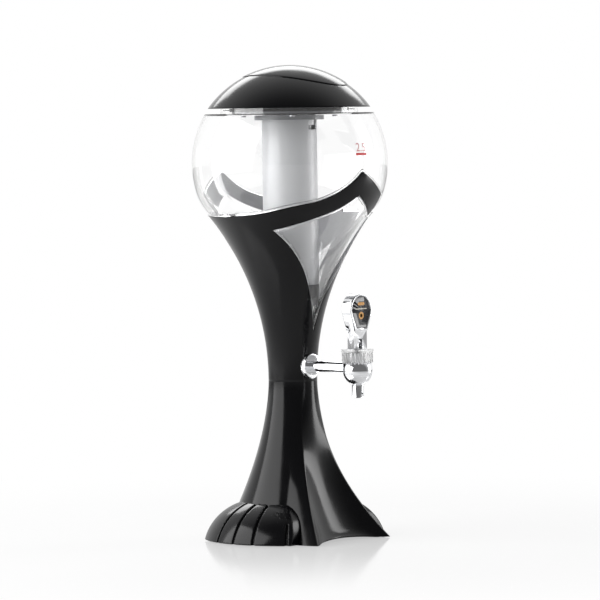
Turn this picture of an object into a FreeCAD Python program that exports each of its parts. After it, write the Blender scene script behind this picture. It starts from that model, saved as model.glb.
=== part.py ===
"""A table-top drink tower: a clear ball tank on a black stand, with a chrome tap.

The tower's axis is Z. The table is at zero height, the tap points along -Y and
+X is to the right of somebody who faces the tap. Lengths are in millimetres.
"""

import FreeCAD, Part
import math
import os

import Sketcher

DOC = FreeCAD.newDocument("drink_tower")
SHEET = DOC.addObject("Spreadsheet::Sheet", "Sizes")
WORKED = DOC.addObject("App::VarSet", "Worked")

# Cutting tools start this far outside what they cut, and end this far beyond it.
OVERCUT = 1.0
BEYOND = 400.0

# Driving sizes

SIZES = {
    # Ball, neck and shell walls
    "ball_height": (394.0, "middle of the ball above the table"),
    "ball_radius": (105.0, "outside of the black arms round the ball"),
    "neck_radius": (25.6, "outside of the black neck"),
    "neck_floor": (2.4, "thickness of the shell's floor, over which the neck flares"),
    "shoulder_radius": (60.0, "radius that joins the flare to the ball"),
    "shoulder_angle": (16.46, "slope down to the shoulder's middle, degrees"),
    "shell_wall": (2.0, "wall of the upper and lower shells"),
    "fit_gap": (0.4, "gap between the tank and the shell round it"),
    "seam_height": (165.6, "joint between the upper and lower shells"),
    # Tank
    "tank_wall": (2.5, "wall of the clear tank"),
    "tank_floor": (4.2, "thickness of the tank's bottom"),
    "shelf_rise": (52.0, "flat shoulder round the mouth over the ball's middle"),
    "mouth_radius": (72.0, "outside of the mouth's upstanding ring"),
    "mouth_rise": (9.0, "height of the mouth's ring over that shoulder"),
    "boss_radius": (9.0, "flat pad inside the tank for the tap's nut"),
    "boss_face": (18.0, "distance of that pad from the tower's axis"),
    # Lid
    "lid_rim_radius": (85.3, "outside of the lid's rim"),
    "lid_rim_drop": (3.4, "how far the lid's rim hangs under the mouth's top"),
    "lid_rise": (43.9, "height of the lid's dome over its rim"),
    "lid_wall": (2.2, "wall of the lid"),
    "web_gap": (0.3, "gap between the lid's web and the mouth's ring"),
    "web_thickness": (2.4, "thickness of the web that rests on the mouth"),
    "web_inner_radius": (56.5, "inside of that web"),
    "crest_length": (57.0, "half length of the raised top cap"),
    "crest_width": (46.0, "half width of the raised top cap"),
    "crest_shift": (7.0, "how far the top cap's middle lies forward"),
    "crest_turn": (12.0, "turn of the top cap about the axis, degrees"),
    "crest_proud": (0.8, "how far the top cap stands proud"),
    "crest_sink": (1.2, "how deep the top cap is let into the lid"),
    "crest_gap": (0.5, "open line round the top cap"),
    "plate_radius": (60.0, "outside of the lid's inner plate"),
    "plate_drop": (2.0, "underside of the inner plate below the shoulder"),
    "plate_thickness": (3.0, "thickness of the inner plate"),
    "plate_wall": (2.5, "wall of the inner plate's rim"),
    "seal_rise": (4.0, "underside of the lid's seal over the inner plate's"),
    "seal_thickness": (3.2, "thickness of the lid's seal"),
    "lid_post_circle": (48.0, "circle of the lid's screw posts"),
    "lid_post_radius": (3.6, "radius of a screw post in the lid"),
    # Ice tube and its collar
    "tube_radius": (28.85, "outside of the ice tube"),
    "tube_wall": (1.5, "wall of the ice tube"),
    "tube_drop": (2.0, "top of the ice tube below the inner plate"),
    "tube_length": (175.0, "length of the ice tube over its end cap"),
    "cap_depth": (15.0, "height of the end cap under the tube"),
    "cap_spigot": (10.0, "how far the end cap reaches into the tube"),
    "collar_radius": (36.5, "outside of the bayonet collar"),
    "collar_depth": (5.0, "height of the bayonet collar"),
    "lug_radius": (2.0, "radius of a bayonet pin"),
    "lug_drop": (11.0, "bayonet pins below the tube's top"),
    "lug_turn": (20.0, "turn that frees the tube, degrees"),
    # Coupling between the two shells
    "coupling_wall": (2.3, "wall of the coupling ring"),
    "coupling_depth": (15.6, "height of the coupling ring"),
    "coupling_disc": (2.6, "thickness of the coupling's disc"),
    "catch_drop": (7.6, "underside of the catch ring below the seam"),
    "catch_depth": (4.0, "height of the catch ring in the base"),
    "catch_overlap": (1.0, "how far each lug reaches under the catch ring"),
    "lug_arc": (34.0, "arc of one coupling lug, degrees"),
    "catch_play": (6.0, "how much wider the gap for a lug is, degrees"),
    "neck_screw_circle": (17.0, "circle of the screws under the tank"),
    # Base
    "arch_start": (45.0, "distance from the axis to where the front arch begins"),
    "base_edge": (0.8, "height of the base's lower edge over the table"),
    "skirt_radius": (77.0, "round part of the base at the table"),
    "fin_reach": (102.4, "front fins' reach at the table"),
    "front_reach": (66.0, "middle of the hollow front at the table"),
    "skirt_fall": (1.72, "how steeply the round part falls away from the neck"),
    "fin_fall": (2.12, "how steeply the fins fall away from the neck"),
    "front_fall": (2.3, "how steeply the hollow front falls away from the neck"),
    "fin_angle": (35.0, "front fins, degrees either side of the front"),
    "crease_angle": (56.0, "creases, degrees either side of the front"),
    "front_arch": (4.0, "rise of the arch under the front panel"),
    "plate_seat": (4.0, "underside of the base plate"),
    "base_plate_thickness": (2.5, "thickness of the base plate"),
    "foot_radius": (8.0, "radius of a rubber foot"),
    "foot_circle": (62.0, "circle of the rubber feet"),
    "base_screw_circle": (42.0, "circle of the base plate's screws"),
    "base_post_radius": (4.2, "radius of a screw post in the base"),
    # Paw covers at the sides of the base
    "paw_reach": (96.5, "reach of a paw cover at the table"),
    "paw_height": (43.0, "height of a paw cover"),
    "toe_start": (45.0, "distance from the axis to the inner end of a groove between toes"),
    "paw_half_width": (60.0, "half width of a paw cover at the table"),
    "paw_wall": (5.0, "wall of a paw cover"),
    "toe_groove_width": (2.6, "width of a groove between toes"),
    "toe_groove_depth": (2.6, "depth of a groove between toes"),
    # Tap
    "tap_rise": (15.9, "middle of the tap's pipe over the joint between the shells"),
    "tap_reach": (89.6, "distance of the tap from the tower's axis"),
    "pipe_radius": (5.8, "outside of the tap's pipe"),
    "pipe_bore": (3.5, "bore of the tap's pipe"),
    "flange_radius": (13.0, "radius of the round flange on the neck"),
    "flange_face": (28.6, "front of that flange from the tower's axis"),
    "washer_thickness": (2.0, "rubber washer under the nut"),
    "nut_flats": (16.0, "nut inside the tank, across flats"),
    "nut_thickness": (4.5, "thickness of that nut"),
    "bowl_radius": (15.3, "outside of the tap's bowl"),
    "bowl_drop": (18.5, "lowest point of the tap's bowl below its pipe"),
    "bowl_rise": (6.1, "top of the tap's bowl over its pipe"),
    "chamber_radius": (10.6, "bore of the tap's chamber"),
    "bowl_neck_radius": (12.6, "outside of the neck inside the collar nut"),
    "bowl_neck_rise": (8.4, "height of that neck over the bowl"),
    "seat_drop": (11.5, "top of the valve's seat below the pipe"),
    "outlet_bore": (4.2, "hole under the valve"),
    "spout_radius": (6.15, "outside of the spout"),
    "spout_bore": (4.5, "inside of the spout"),
    "spout_drop": (12.3, "lower end of the spout below the bowl"),
    "collar_nut_radius": (15.4, "collar nut over the bowl"),
    "collar_nut_rim": (16.8, "top rim of the collar nut"),
    "collar_nut_height": (13.2, "height of the collar nut"),
    "collar_nut_cap": (2.6, "thickness of the collar nut's top"),
    "rib_radius": (0.7, "radius of a grip rib on the collar nut"),
    "rib_count": (24.0, "grip ribs round the collar nut"),
    "stem_radius": (2.0, "radius of the valve stem"),
    "stem_gap": (0.08, "running gap round the stem and the pin"),
    "plug_radius": (6.5, "radius of the rubber plug"),
    "plug_thickness": (4.6, "height of the rubber plug"),
    "pin_rise": (7.8, "lever's pin over the collar nut"),
    "pin_radius": (1.5, "radius of the lever's pin"),
    "eye_radius": (3.3, "radius of the stem's eye"),
    "eye_width": (5.0, "width of the stem's eye"),
    "spring_radius": (5.2, "middle radius of the tap's spring"),
    "spring_wire": (0.55, "radius of the spring's wire"),
    "spring_turns": (5.0, "turns of the tap's spring"),
    "lever_gap": (0.3, "gap under the lever at rest"),
    "lever_width": (20.4, "width of the lever's foot"),
    "lever_depth": (8.8, "depth of the lever's foot"),
    "lever_shoulder_rise": (11.9, "where the lever's head begins, over its pin"),
    "head_radius": (17.0, "radius of the lever's round head"),
    "head_rise": (38.5, "height of the lever's head"),
    "head_depth": (12.6, "thickness of the lever's head"),
    "badge_rim": (2.4, "chrome rim left round the badge"),
    "badge_recess": (1.6, "depth of the recess for the badge"),
    "badge_thickness": (1.2, "thickness of the badge plate"),
    # Screws
    "screw_radius": (1.5, "radius of a screw's shank"),
    "screw_head_radius": (2.8, "radius of a screw's head"),
    "screw_head_height": (1.8, "height of a screw's head"),
    "screw_length": (7.4, "length of a screw under its head"),
}


# Heights above the table: each is a step up or down from another height or size

HEIGHTS = {
    "flare": ("seam_height", "neck_floor"),
    "shelf": ("ball_height", "shelf_rise"),
    "mouth_top": ("shelf", "mouth_rise"),
    "lid_rim": ("mouth_top", "lid_rim_drop"),
    "plate": ("shelf", "plate_drop"),
    "seal": ("plate", "seal_rise"),
    "tube_top": ("plate", "tube_drop"),
    "tube_foot": ("tube_top", "tube_length"),
    "lug": ("tube_top", "lug_drop"),
    "coupling_foot": ("seam_height", "coupling_depth"),
    "catch": ("seam_height", "catch_drop"),
    "tap": ("seam_height", "tap_rise"),
    "bowl_bottom": ("tap", "bowl_drop"),
    "bowl_top": ("tap", "bowl_rise"),
    "bowl_neck_top": ("bowl_top", "bowl_neck_rise"),
    "seat": ("tap", "seat_drop"),
    "spout_tip": ("bowl_bottom", "spout_drop"),
    "collar_nut_top": ("bowl_top", "collar_nut_height"),
    "pin": ("collar_nut_top", "pin_rise"),
    "lever_shoulder": ("pin", "lever_shoulder_rise"),
    "head_top": ("lever_shoulder", "head_rise"),
}
DOWNWARDS = {"lid_rim", "plate", "tube_top", "tube_foot", "lug", "coupling_foot", "catch",
             "bowl_bottom", "seat", "spout_tip"}


class Dim:
    """A size with its present value and the sheet formula that gives it."""

    def __init__(self, value, formula):
        self.value = float(value)
        self.formula = formula

    def __float__(self):
        return self.value

    def __add__(self, other):
        return joined(self, "+", other, self.value + float(other))

    def __radd__(self, other):
        return joined(other, "+", self, float(other) + self.value)

    def __sub__(self, other):
        return joined(self, "-", other, self.value - float(other))

    def __rsub__(self, other):
        return joined(other, "-", self, float(other) - self.value)

    def __mul__(self, other):
        return joined(self, "*", other, self.value * float(other))

    def __rmul__(self, other):
        return joined(other, "*", self, float(other) * self.value)

    def __truediv__(self, other):
        return joined(self, "/", other, self.value / float(other))

    def __neg__(self):
        return joined(0, "-", self, -self.value)


def formula_of(thing):
    """The sheet formula of a size, or the text of a plain number."""
    if isinstance(thing, Dim):
        return thing.formula
    return repr(float(thing))


def joined(left, sign, right, value):
    """A size worked out from two others."""
    return Dim(value, f"({formula_of(left)} {sign} {formula_of(right)})")


def root(size):
    """The square root of a size."""
    return Dim(math.sqrt(size.value), f"sqrt({size.formula})")


def cosine(angle):
    """The cosine of an angle in degrees."""
    return Dim(math.cos(math.radians(angle.value)), f"cos({angle.formula})")


def sine(angle):
    """The sine of an angle in degrees."""
    return Dim(math.sin(math.radians(angle.value)), f"sin({angle.formula})")


def worked(name, size):
    """Keep a worked-out size as a named value that formulas can use."""
    WORKED.addProperty("App::PropertyFloat", name, "Worked")
    WORKED.setExpression(name, size.formula)
    return Dim(size.value, f"Worked.{name}")


def fill_sheet():
    """Write the driving sizes to the sheet and give each its alias."""
    for row, (alias, (value, note)) in enumerate(SIZES.items(), start=1):
        SHEET.set(f"A{row}", alias.replace("_", " "))
        SHEET.set(f"B{row}", str(value))
        SHEET.set(f"C{row}", note)
        SHEET.setAlias(f"B{row}", alias)
    DOC.recompute()


def size(alias):
    """A driving size from the sheet."""
    return Dim(SHEET.get(alias), f"Sizes.{alias}")


def height(name):
    """A height above the table that follows from the driving sizes."""
    below, step = HEIGHTS[name]
    start = height(below) if below in HEIGHTS else size(below)
    return start + size(step) if name not in DOWNWARDS else start - size(step)


def vector(x, y, z):
    """A place from three sizes or numbers."""
    return FreeCAD.Vector(float(x), float(y), float(z))


def bind(thing, prop, value):
    """Set a property, and tie it to the sheet where the value is a size."""
    if isinstance(value, Dim):
        thing.setExpression(prop, value.formula)
    else:
        thing.setExpression(prop, repr(float(value)))


def place(thing, x=0, y=0, z=0, turn=None):
    """Put an object at a place, turned about an axis by an angle in degrees."""
    if turn:
        axis, angle = turn
        rotation = FreeCAD.Rotation(FreeCAD.Vector(*axis), float(angle))
        thing.Placement = FreeCAD.Placement(vector(x, y, z), rotation)
        if isinstance(angle, Dim):
            thing.setExpression("Placement.Rotation.Angle", angle.formula)
    else:
        thing.Placement.Base = vector(x, y, z)
    for letter, value in (("x", x), ("y", y), ("z", z)):
        if isinstance(value, Dim):
            thing.setExpression(f"Placement.Base.{letter}", value.formula)


# Sketches and the features made from them

def new_body(label):
    """An empty body with its own label."""
    body = DOC.addObject("PartDesign::Body", label)
    body.Label = label
    body.AllowCompound = True
    return body


def sketch_on(body, name, plane="XZ_Plane", offset=None):
    """A sketch on one of the body's own origin planes, or parallel to it."""
    sketch = body.newObject("Sketcher::SketchObject", name)
    support = [item for item in body.Origin.OriginFeatures if item.Role == plane][0]
    sketch.AttachmentSupport = [(support, "")]
    sketch.MapMode = "FlatFace"
    if offset is not None:
        sketch.AttachmentOffset = FreeCAD.Placement(vector(0, 0, offset), FreeCAD.Rotation())
        bind(sketch, "AttachmentOffset.Base.z", offset)
    return sketch


def pin_point(sketch, edge, end, x, y, tag):
    """Fix one end of an edge at a place that the sheet gives."""
    for kind, value, letter in (("DistanceX", x, "x"), ("DistanceY", y, "y")):
        index = sketch.addConstraint(Sketcher.Constraint(kind, -1, 1, edge, end, float(value)))
        if isinstance(value, Dim):
            sketch.renameConstraint(index, f"{tag}_{letter}")
            sketch.setExpression(f"Constraints.{tag}_{letter}", value.formula)


def arc_edge(start, end, radius, bulge):
    """The arc of a radius between two points, and whether it runs anticlockwise.

    A bulge of +1 puts the arc to the right of the way from start to end.
    """
    radius = float(radius)
    middle = (start + end) * 0.5
    chord = end - start
    across = FreeCAD.Vector(chord.y, -chord.x, 0).normalize()
    depth = math.sqrt(radius ** 2 - (chord.Length / 2) ** 2)
    centre = middle - across * (bulge * depth)
    first = math.atan2(start.y - centre.y, start.x - centre.x)
    last = math.atan2(end.y - centre.y, end.x - centre.x)
    circle = Part.Circle(centre, FreeCAD.Vector(0, 0, 1), radius)
    if bulge > 0:
        return Part.ArcOfCircle(circle, first, last), True
    return Part.ArcOfCircle(circle, last, first), False


def outline(sketch, points):
    """Draw a closed loop.

    Each point is (x, y), or (x, y, radius, bulge) where an arc leads to it.
    """
    ends = []
    count = len(points)
    for index in range(count):
        here = points[index]
        ahead = points[(index + 1) % count]
        start = vector(here[0], here[1], 0)
        end = vector(ahead[0], ahead[1], 0)
        if len(ahead) == 2:
            edge = sketch.addGeometry(Part.LineSegment(start, end), False)
            ends.append((edge, 1, 2))
            continue
        shape, forwards = arc_edge(start, end, ahead[2], ahead[3])
        edge = sketch.addGeometry(shape, False)
        ends.append((edge, 1, 2) if forwards else (edge, 2, 1))
        fixed = sketch.addConstraint(Sketcher.Constraint("Radius", edge, float(ahead[2])))
        if isinstance(ahead[2], Dim):
            sketch.renameConstraint(fixed, f"arc_{index}")
            sketch.setExpression(f"Constraints.arc_{index}", ahead[2].formula)
    for index in range(count):
        edge, first, last = ends[index]
        follower, follower_first, _ = ends[(index + 1) % count]
        sketch.addConstraint(Sketcher.Constraint("Coincident", edge, last, follower, follower_first))
        pin_point(sketch, edge, first, points[index][0], points[index][1], f"point_{index}")


def circle(sketch, x, y, radius, tag="hole"):
    """Draw a circle whose place and radius come from the sheet."""
    shape = Part.Circle(vector(x, y, 0), FreeCAD.Vector(0, 0, 1), float(radius))
    edge = sketch.addGeometry(shape, False)
    pin_point(sketch, edge, 3, x, y, tag)
    fixed = sketch.addConstraint(Sketcher.Constraint("Radius", edge, float(radius)))
    sketch.renameConstraint(fixed, f"{tag}_radius")
    sketch.setExpression(f"Constraints.{tag}_radius", formula_of(radius))


def revolve(body, points, name="turned"):
    """Turn an outline of (radius, height) points about the body's Z axis."""
    sketch = sketch_on(body, f"{body.Label}_{name}_outline")
    outline(sketch, points)
    feature = body.newObject("PartDesign::Revolution", f"{body.Label}_{name}")
    feature.Profile = sketch
    feature.ReferenceAxis = (sketch, ["V_Axis"])
    feature.Angle = 360
    DOC.recompute()
    return feature


def pad(body, sketch, length, name, middle=False, backwards=False):
    """Raise a sketch into a solid."""
    feature = body.newObject("PartDesign::Pad", f"{body.Label}_{name}")
    feature.Profile = sketch
    bind(feature, "Length", length)
    feature.Midplane = middle
    feature.Reversed = backwards
    DOC.recompute()
    return feature


def pocket(body, sketch, length, name, middle=False, backwards=False):
    """Cut a sketch out of the body, and make sure that it cut something."""
    before = body.Shape.Volume
    feature = body.newObject("PartDesign::Pocket", f"{body.Label}_{name}")
    feature.Profile = sketch
    bind(feature, "Length", length)
    feature.Midplane = middle
    feature.Reversed = backwards
    DOC.recompute()
    if body.Shape.Volume > before - 1e-3:
        raise ValueError(f"{body.Label}: {name} cut nothing")
    return feature


def polar(body, feature, count, name):
    """Repeat a feature round the body's Z axis."""
    pattern = body.newObject("PartDesign::PolarPattern", f"{body.Label}_{name}")
    pattern.Originals = [feature]
    axis = [item for item in body.Origin.OriginFeatures if item.Role == "Z_Axis"][0]
    pattern.Axis = (axis, [""])
    pattern.Angle = 360
    bind(pattern, "Occurrences", count)
    body.Tip = pattern
    DOC.recompute()
    return pattern


def solid(label, shape):
    """A piece whose shape is worked out here from the sheet's sizes."""
    thing = DOC.addObject("Part::Feature", label)
    thing.Label = label
    thing.Shape = shape
    return thing


def wire_solid(edges, direction):
    """Sweep a closed chain of edges straight along a direction."""
    return Part.Face(Part.Wire(edges)).extrude(direction)


def turned_copy(shape, angle, axis=(0, 0, 1)):
    """A copy of a shape turned about an axis through the origin."""
    copy = shape.copy()
    copy.rotate(FreeCAD.Vector(0, 0, 0), FreeCAD.Vector(*axis), float(angle))
    return copy


# Ball, flare and neck: three arcs that meet smoothly, at any depth inside the shell

def flare_points():
    """Work out the middles of the arcs that shape the shell and the tank.

    The shoulder's middle lies under the ball's at a slope. The flare starts
    upright at the neck, and its radius is the one that then meets the shoulder.
    """
    shoulder = size("shoulder_radius")
    slope = size("shoulder_angle")
    near = worked("ball_to_shoulder", size("ball_radius") - shoulder)
    shoulder_x = worked("shoulder_x", near * cosine(slope))
    shoulder_z = worked("shoulder_z", size("ball_height") - near * sine(slope))
    aside = worked("neck_to_shoulder", size("neck_radius") - shoulder_x)
    rise = worked("flare_rise", shoulder_z - height("flare"))
    flare = worked("flare_radius", (aside * aside + rise * rise - shoulder * shoulder)
                   / (2 * (shoulder - aside)))
    return {
        "flare_radius": flare,
        "flare_x": worked("flare_middle_x", size("neck_radius") + flare),
        "flare_z": height("flare"),
        "shoulder_x": shoulder_x,
        "shoulder_z": shoulder_z,
        "near": near,
        "far": worked("flare_to_shoulder", flare + shoulder),
    }


class Contour:
    """The arcs of the shell, drawn a given depth inside its outer surface."""

    def __init__(self, name, middles, depth):
        self.depth = depth
        self.ball = size("ball_radius") - depth
        self.shoulder = size("shoulder_radius") - depth
        self.flare = middles["flare_radius"] + depth
        self.middles = middles
        share = self.flare / middles["far"]
        span_x = middles["shoulder_x"] - middles["flare_x"]
        span_z = middles["shoulder_z"] - middles["flare_z"]
        self.low_x = worked(f"{name}_low_x", middles["flare_x"] + span_x * share)
        self.low_z = worked(f"{name}_low_z", middles["flare_z"] + span_z * share)
        share = self.ball / middles["near"]
        rise = middles["shoulder_z"] - size("ball_height")
        self.high_x = worked(f"{name}_high_x", middles["shoulder_x"] * share)
        self.high_z = worked(f"{name}_high_z", size("ball_height") + rise * share)

    def neck_radius(self):
        """Radius of the straight neck."""
        return size("neck_radius") - self.depth

    def flare_at(self, level):
        """Radius of the flare at a height."""
        above = level - self.middles["flare_z"]
        return self.middles["flare_x"] - root(self.flare * self.flare - above * above)

    def ball_at(self, level):
        """Radius of the ball at a height."""
        above = level - size("ball_height")
        return root(self.ball * self.ball - above * above)

    def upwards(self, top):
        """Points that follow the arcs from the neck up to a height on the ball."""
        return [
            (self.low_x, self.low_z, self.flare, -1),
            (self.high_x, self.high_z, self.shoulder, 1),
            (self.ball_at(top), top, self.ball, 1),
        ]

    def downwards(self, bottom):
        """Points that follow the arcs from the ball down to a height on the flare."""
        return [
            (self.high_x, self.high_z, self.ball, -1),
            (self.low_x, self.low_z, self.shoulder, -1),
            (self.flare_at(bottom), bottom, self.flare, 1),
        ]


def upper_shell(outer, inner):
    """The black shell with its two arms that wind round the ball."""
    body = new_body("upper_shell_blank")
    seam = size("seam_height")
    ledge = height("flare")
    top = size("ball_height")
    opening = size("neck_screw_circle") - size("screw_head_radius") - size("shell_wall")
    points = [(opening, seam), (size("neck_radius"), seam), (size("neck_radius"), ledge)]
    points += outer.upwards(top)
    points += [(inner.ball_at(top), top)]
    points += inner.downwards(ledge)
    points += [(opening, ledge)]
    revolve(body, points)
    DOC.recompute()
    blank = body.Shape.copy()
    front = arm_opening()
    shape = blank.cut(front).cut(turned_copy(front, 180))
    hole = Part.makeCylinder(
        float(size("pipe_radius") + size("fit_gap")), float(size("flange_face")),
        vector(0, 0, height("tap")), FreeCAD.Vector(0, -1, 0))
    shape = shape.cut(hole)
    for spot in screw_places(size("neck_screw_circle"), 3, 90):
        shape = drill(shape, spot.x, spot.y, seam - 1, size("screw_radius") + size("stem_gap"),
                      size("screw_length"))
    DOC.removeObject(body.Name)
    return solid("upper_shell", shape.removeSplitter())


def arm_opening():
    """All that is open in the front half of the shell, as a solid along -Y.

    Seen from the front, places are given across in hundredths of the ball's
    radius, and up from the ball's middle in hundredths of its height over the
    flare. The edge climbs from the left to the arm's peak, comes down along the
    arm's end, goes back under the arm to the window's left corner, down to its
    foot and up its right side to the corner of the other arm's root.
    """
    middle = float(size("ball_height"))
    wide = float(size("ball_radius")) / 100
    tall = (middle - float(height("flare"))) / 100
    reach = wide * 110
    above = middle + tall * 5

    def spot(across, up):
        return FreeCAD.Vector(across * wide, 0, middle + up * tall)

    left_end = FreeCAD.Vector(-reach, 0, spot(0, -24).z)
    right_end = FreeCAD.Vector(reach, 0, left_end.z)
    left_top = FreeCAD.Vector(-reach, 0, above)
    right_top = FreeCAD.Vector(reach, 0, above)
    root_left = spot(-84.3, -23.9)
    peak = spot(-3.9, -4.0)
    end_top = spot(38.4, -15.0)
    end_foot = spot(31.0, -24.6)
    inner_corner = spot(-4.5, -14.7)
    window_left = spot(-64.5, -30.1)
    window_foot = spot(-0.5, -78.5)
    root_right = spot(63.8, -24.1)
    edges = [
        Part.makeLine(left_end, root_left),
        smooth_edge([root_left, spot(-66.7, -19.5), spot(-46.7, -16.9), spot(-21.0, -10.4), peak]),
        Part.makeLine(peak, end_top),
        Part.makeLine(end_top, end_foot),
        Part.makeLine(end_foot, inner_corner),
        smooth_edge([inner_corner, spot(-24.8, -20.9), spot(-43.8, -25.4), window_left]),
        smooth_edge([window_left, spot(-43.7, -39.4), spot(-24.0, -51.3), spot(-9.1, -65.7),
                     window_foot]),
        smooth_edge([window_foot, spot(5.7, -64.6), spot(23.8, -49.6), spot(42.9, -38.5), root_right]),
        Part.makeLine(root_right, right_end),
        Part.makeLine(right_end, right_top),
        Part.makeLine(right_top, left_top),
        Part.makeLine(left_top, left_end),
    ]
    return wire_solid(edges, FreeCAD.Vector(0, -reach, 0))


def smooth_edge(points):
    """A smooth curve through a few points."""
    curve = Part.BSplineCurve()
    curve.interpolate(points)
    return curve.toShape()


def screw_places(circle_radius, count, first_angle):
    """Places evenly round a circle."""
    places = []
    for index in range(count):
        angle = math.radians(first_angle + 360 / count * index)
        places.append(vector(
            float(circle_radius) * math.cos(angle), float(circle_radius) * math.sin(angle), 0))
    return places


def drill(shape, x, y, z, radius, depth, way=(0, 0, 1)):
    """Cut a round hole that starts at a place and runs a depth along a way."""
    tool = Part.makeCylinder(float(radius), float(depth), vector(x, y, z), FreeCAD.Vector(*way))
    return shape.cut(tool)


def tank(outer, inner):
    """The clear tank: ball, funnel, floor and the ring of its mouth."""
    body = new_body("tank")
    foot = height("flare")
    floor = foot + size("tank_floor")
    shelf = height("shelf")
    roof = shelf - size("tank_wall")
    mouth = size("mouth_radius")
    bore = mouth - size("tank_wall")
    points = [(0, foot), (outer.neck_radius(), foot)]
    points += outer.upwards(shelf)
    points += [(mouth, shelf), (mouth, height("mouth_top")), (bore, height("mouth_top")), (bore, roof)]
    points += [(inner.ball_at(roof), roof)]
    points += inner.downwards(floor)
    points += [(0, floor)]
    revolve(body, points)
    sketch = sketch_on(body, "tank_boss_outline", offset=size("boss_face"))
    circle(sketch, 0, height("tap"), size("boss_radius"))
    depth = outer.neck_radius() - size("boss_face") - size("tank_wall") * 0.75
    pad(body, sketch, depth, "boss")
    sketch = sketch_on(body, "tank_tap_hole_outline")
    circle(sketch, 0, height("tap"), size("pipe_radius") + size("stem_gap"))
    pocket(body, sketch, size("neck_radius"), "tap_hole", backwards=True)
    sketch = sketch_on(body, "tank_screw_outline", "XY_Plane", foot)
    circle(sketch, 0, size("neck_screw_circle"), size("screw_radius"))
    depth = screw_end() - foot + size("stem_gap")
    hole = pocket(body, sketch, depth, "screw_hole", backwards=True)
    polar(body, hole, 3, "screw_holes")
    return body


def screw_end():
    """Height where the screws under the tank end."""
    return size("seam_height") - size("coupling_disc") + size("screw_length")


def screws(label, circle_radius, head_seat, count, turn):
    """A ring of identical pan-head screws that point up from their seat."""
    body = new_body(label)
    axis_x = float(circle_radius)
    sketch = sketch_on(body, f"{label}_outline")
    shank = circle_radius + size("screw_radius")
    head = circle_radius + size("screw_head_radius")
    low = head_seat - size("screw_head_height")
    high = head_seat + size("screw_length")
    outline(sketch, [(circle_radius, low), (head, low), (head, head_seat),
                     (shank, head_seat), (shank, high), (circle_radius, high)])
    line = Part.LineSegment(vector(axis_x, low, 0), vector(axis_x, high, 0))
    edge = sketch.addGeometry(line, True)
    pin_point(sketch, edge, 1, circle_radius, low, "axis_foot")
    pin_point(sketch, edge, 2, circle_radius, high, "axis_head")
    feature = body.newObject("PartDesign::Revolution", f"{label}_one")
    feature.Profile = sketch
    feature.ReferenceAxis = (sketch, ["Axis0"])
    feature.Angle = 360
    DOC.recompute()
    polar(body, feature, count, "ring")
    place(body, turn=((0, 0, 1), turn))
    return body


def coupling():
    """The ring under the tank that plugs into the base, with three lugs."""
    body = new_body("neck_coupling")
    seam = size("seam_height")
    radius = size("neck_radius") - size("shell_wall") - size("catch_overlap") - size("web_gap")
    bore = radius - size("coupling_wall")
    under = seam - size("coupling_disc")
    foot = height("coupling_foot")
    revolve(body, [(0, under), (bore, under), (bore, foot), (radius, foot), (radius, seam), (0, seam)])
    sketch = sketch_on(body, "coupling_lug_outline", "XY_Plane", foot)
    reach = radius + size("catch_overlap")
    half = size("lug_arc") / 2
    side = reach * sine(half)
    front = reach * cosine(half)
    inside = bore + size("coupling_wall") / 2
    outline(sketch, [(inside, -side), (front, -side), (front, side, reach, 1), (inside, side)])
    depth = height("catch") - foot - size("web_gap")
    lug = pad(body, sketch, depth, "lug")
    polar(body, lug, 3, "lugs")
    sketch = sketch_on(body, "coupling_screw_outline", "XY_Plane", under)
    circle(sketch, 0, size("neck_screw_circle"), size("screw_radius") + size("stem_gap"))
    hole = pocket(body, sketch, size("coupling_disc"), "screw_hole", backwards=True)
    polar(body, hole, 3, "screw_holes")
    return body


# Base

def base_shape_at(level):
    """How far the base reaches at a level: round part, fins and hollow front."""
    top = float(size("seam_height"))
    neck = float(size("neck_radius"))
    share = max(0.0, 1 - level / top)
    skirt = neck + (float(size("skirt_radius")) - neck) * share ** float(size("skirt_fall"))
    fin = neck + (float(size("fin_reach")) - neck) * share ** float(size("fin_fall"))
    front = neck + (float(size("front_reach")) - neck) * share ** float(size("front_fall"))
    return skirt, max(skirt * 0.998, fin), min(front, skirt)


def base_ring(level, inset):
    """The base's outline at a level, moved inwards by an inset."""
    skirt, fin, front = base_shape_at(level)
    skirt -= inset
    fin -= inset * (1 + fin / float(size("fin_reach")))
    front -= inset
    tip = math.radians(float(size("fin_angle")))
    crease = math.radians(float(size("crease_angle")))

    def spot(radius, angle):
        return FreeCAD.Vector(radius * math.sin(angle), -radius * math.cos(angle), level)

    right_fin = spot(fin, tip)
    left_fin = spot(fin, -tip)
    right_crease = spot(skirt, crease)
    left_crease = spot(skirt, -crease)
    panel = (skirt + fin) / 2 - 0.025 * (fin - skirt)
    middle = (tip + crease) / 2
    edges = [
        Part.Arc(left_fin, spot(front, 0), right_fin).toShape(),
        Part.Arc(right_fin, spot(panel, middle), right_crease).toShape(),
        Part.Arc(right_crease, spot(skirt, math.radians(118)), spot(skirt, math.pi)).toShape(),
        Part.Arc(spot(skirt, math.pi), spot(skirt, math.radians(-118)), left_crease).toShape(),
        Part.Arc(left_crease, spot(panel, -middle), left_fin).toShape(),
    ]
    return Part.Wire(edges)


def base_loft(inset, low, high):
    """The base as a solid between two heights, moved inwards by an inset."""
    steps = 8
    levels = [low + (high - low) * (index / steps) ** 1.25 for index in range(steps + 1)]
    return Part.makeLoft([base_ring(level, inset) for level in levels], True, False)


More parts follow.
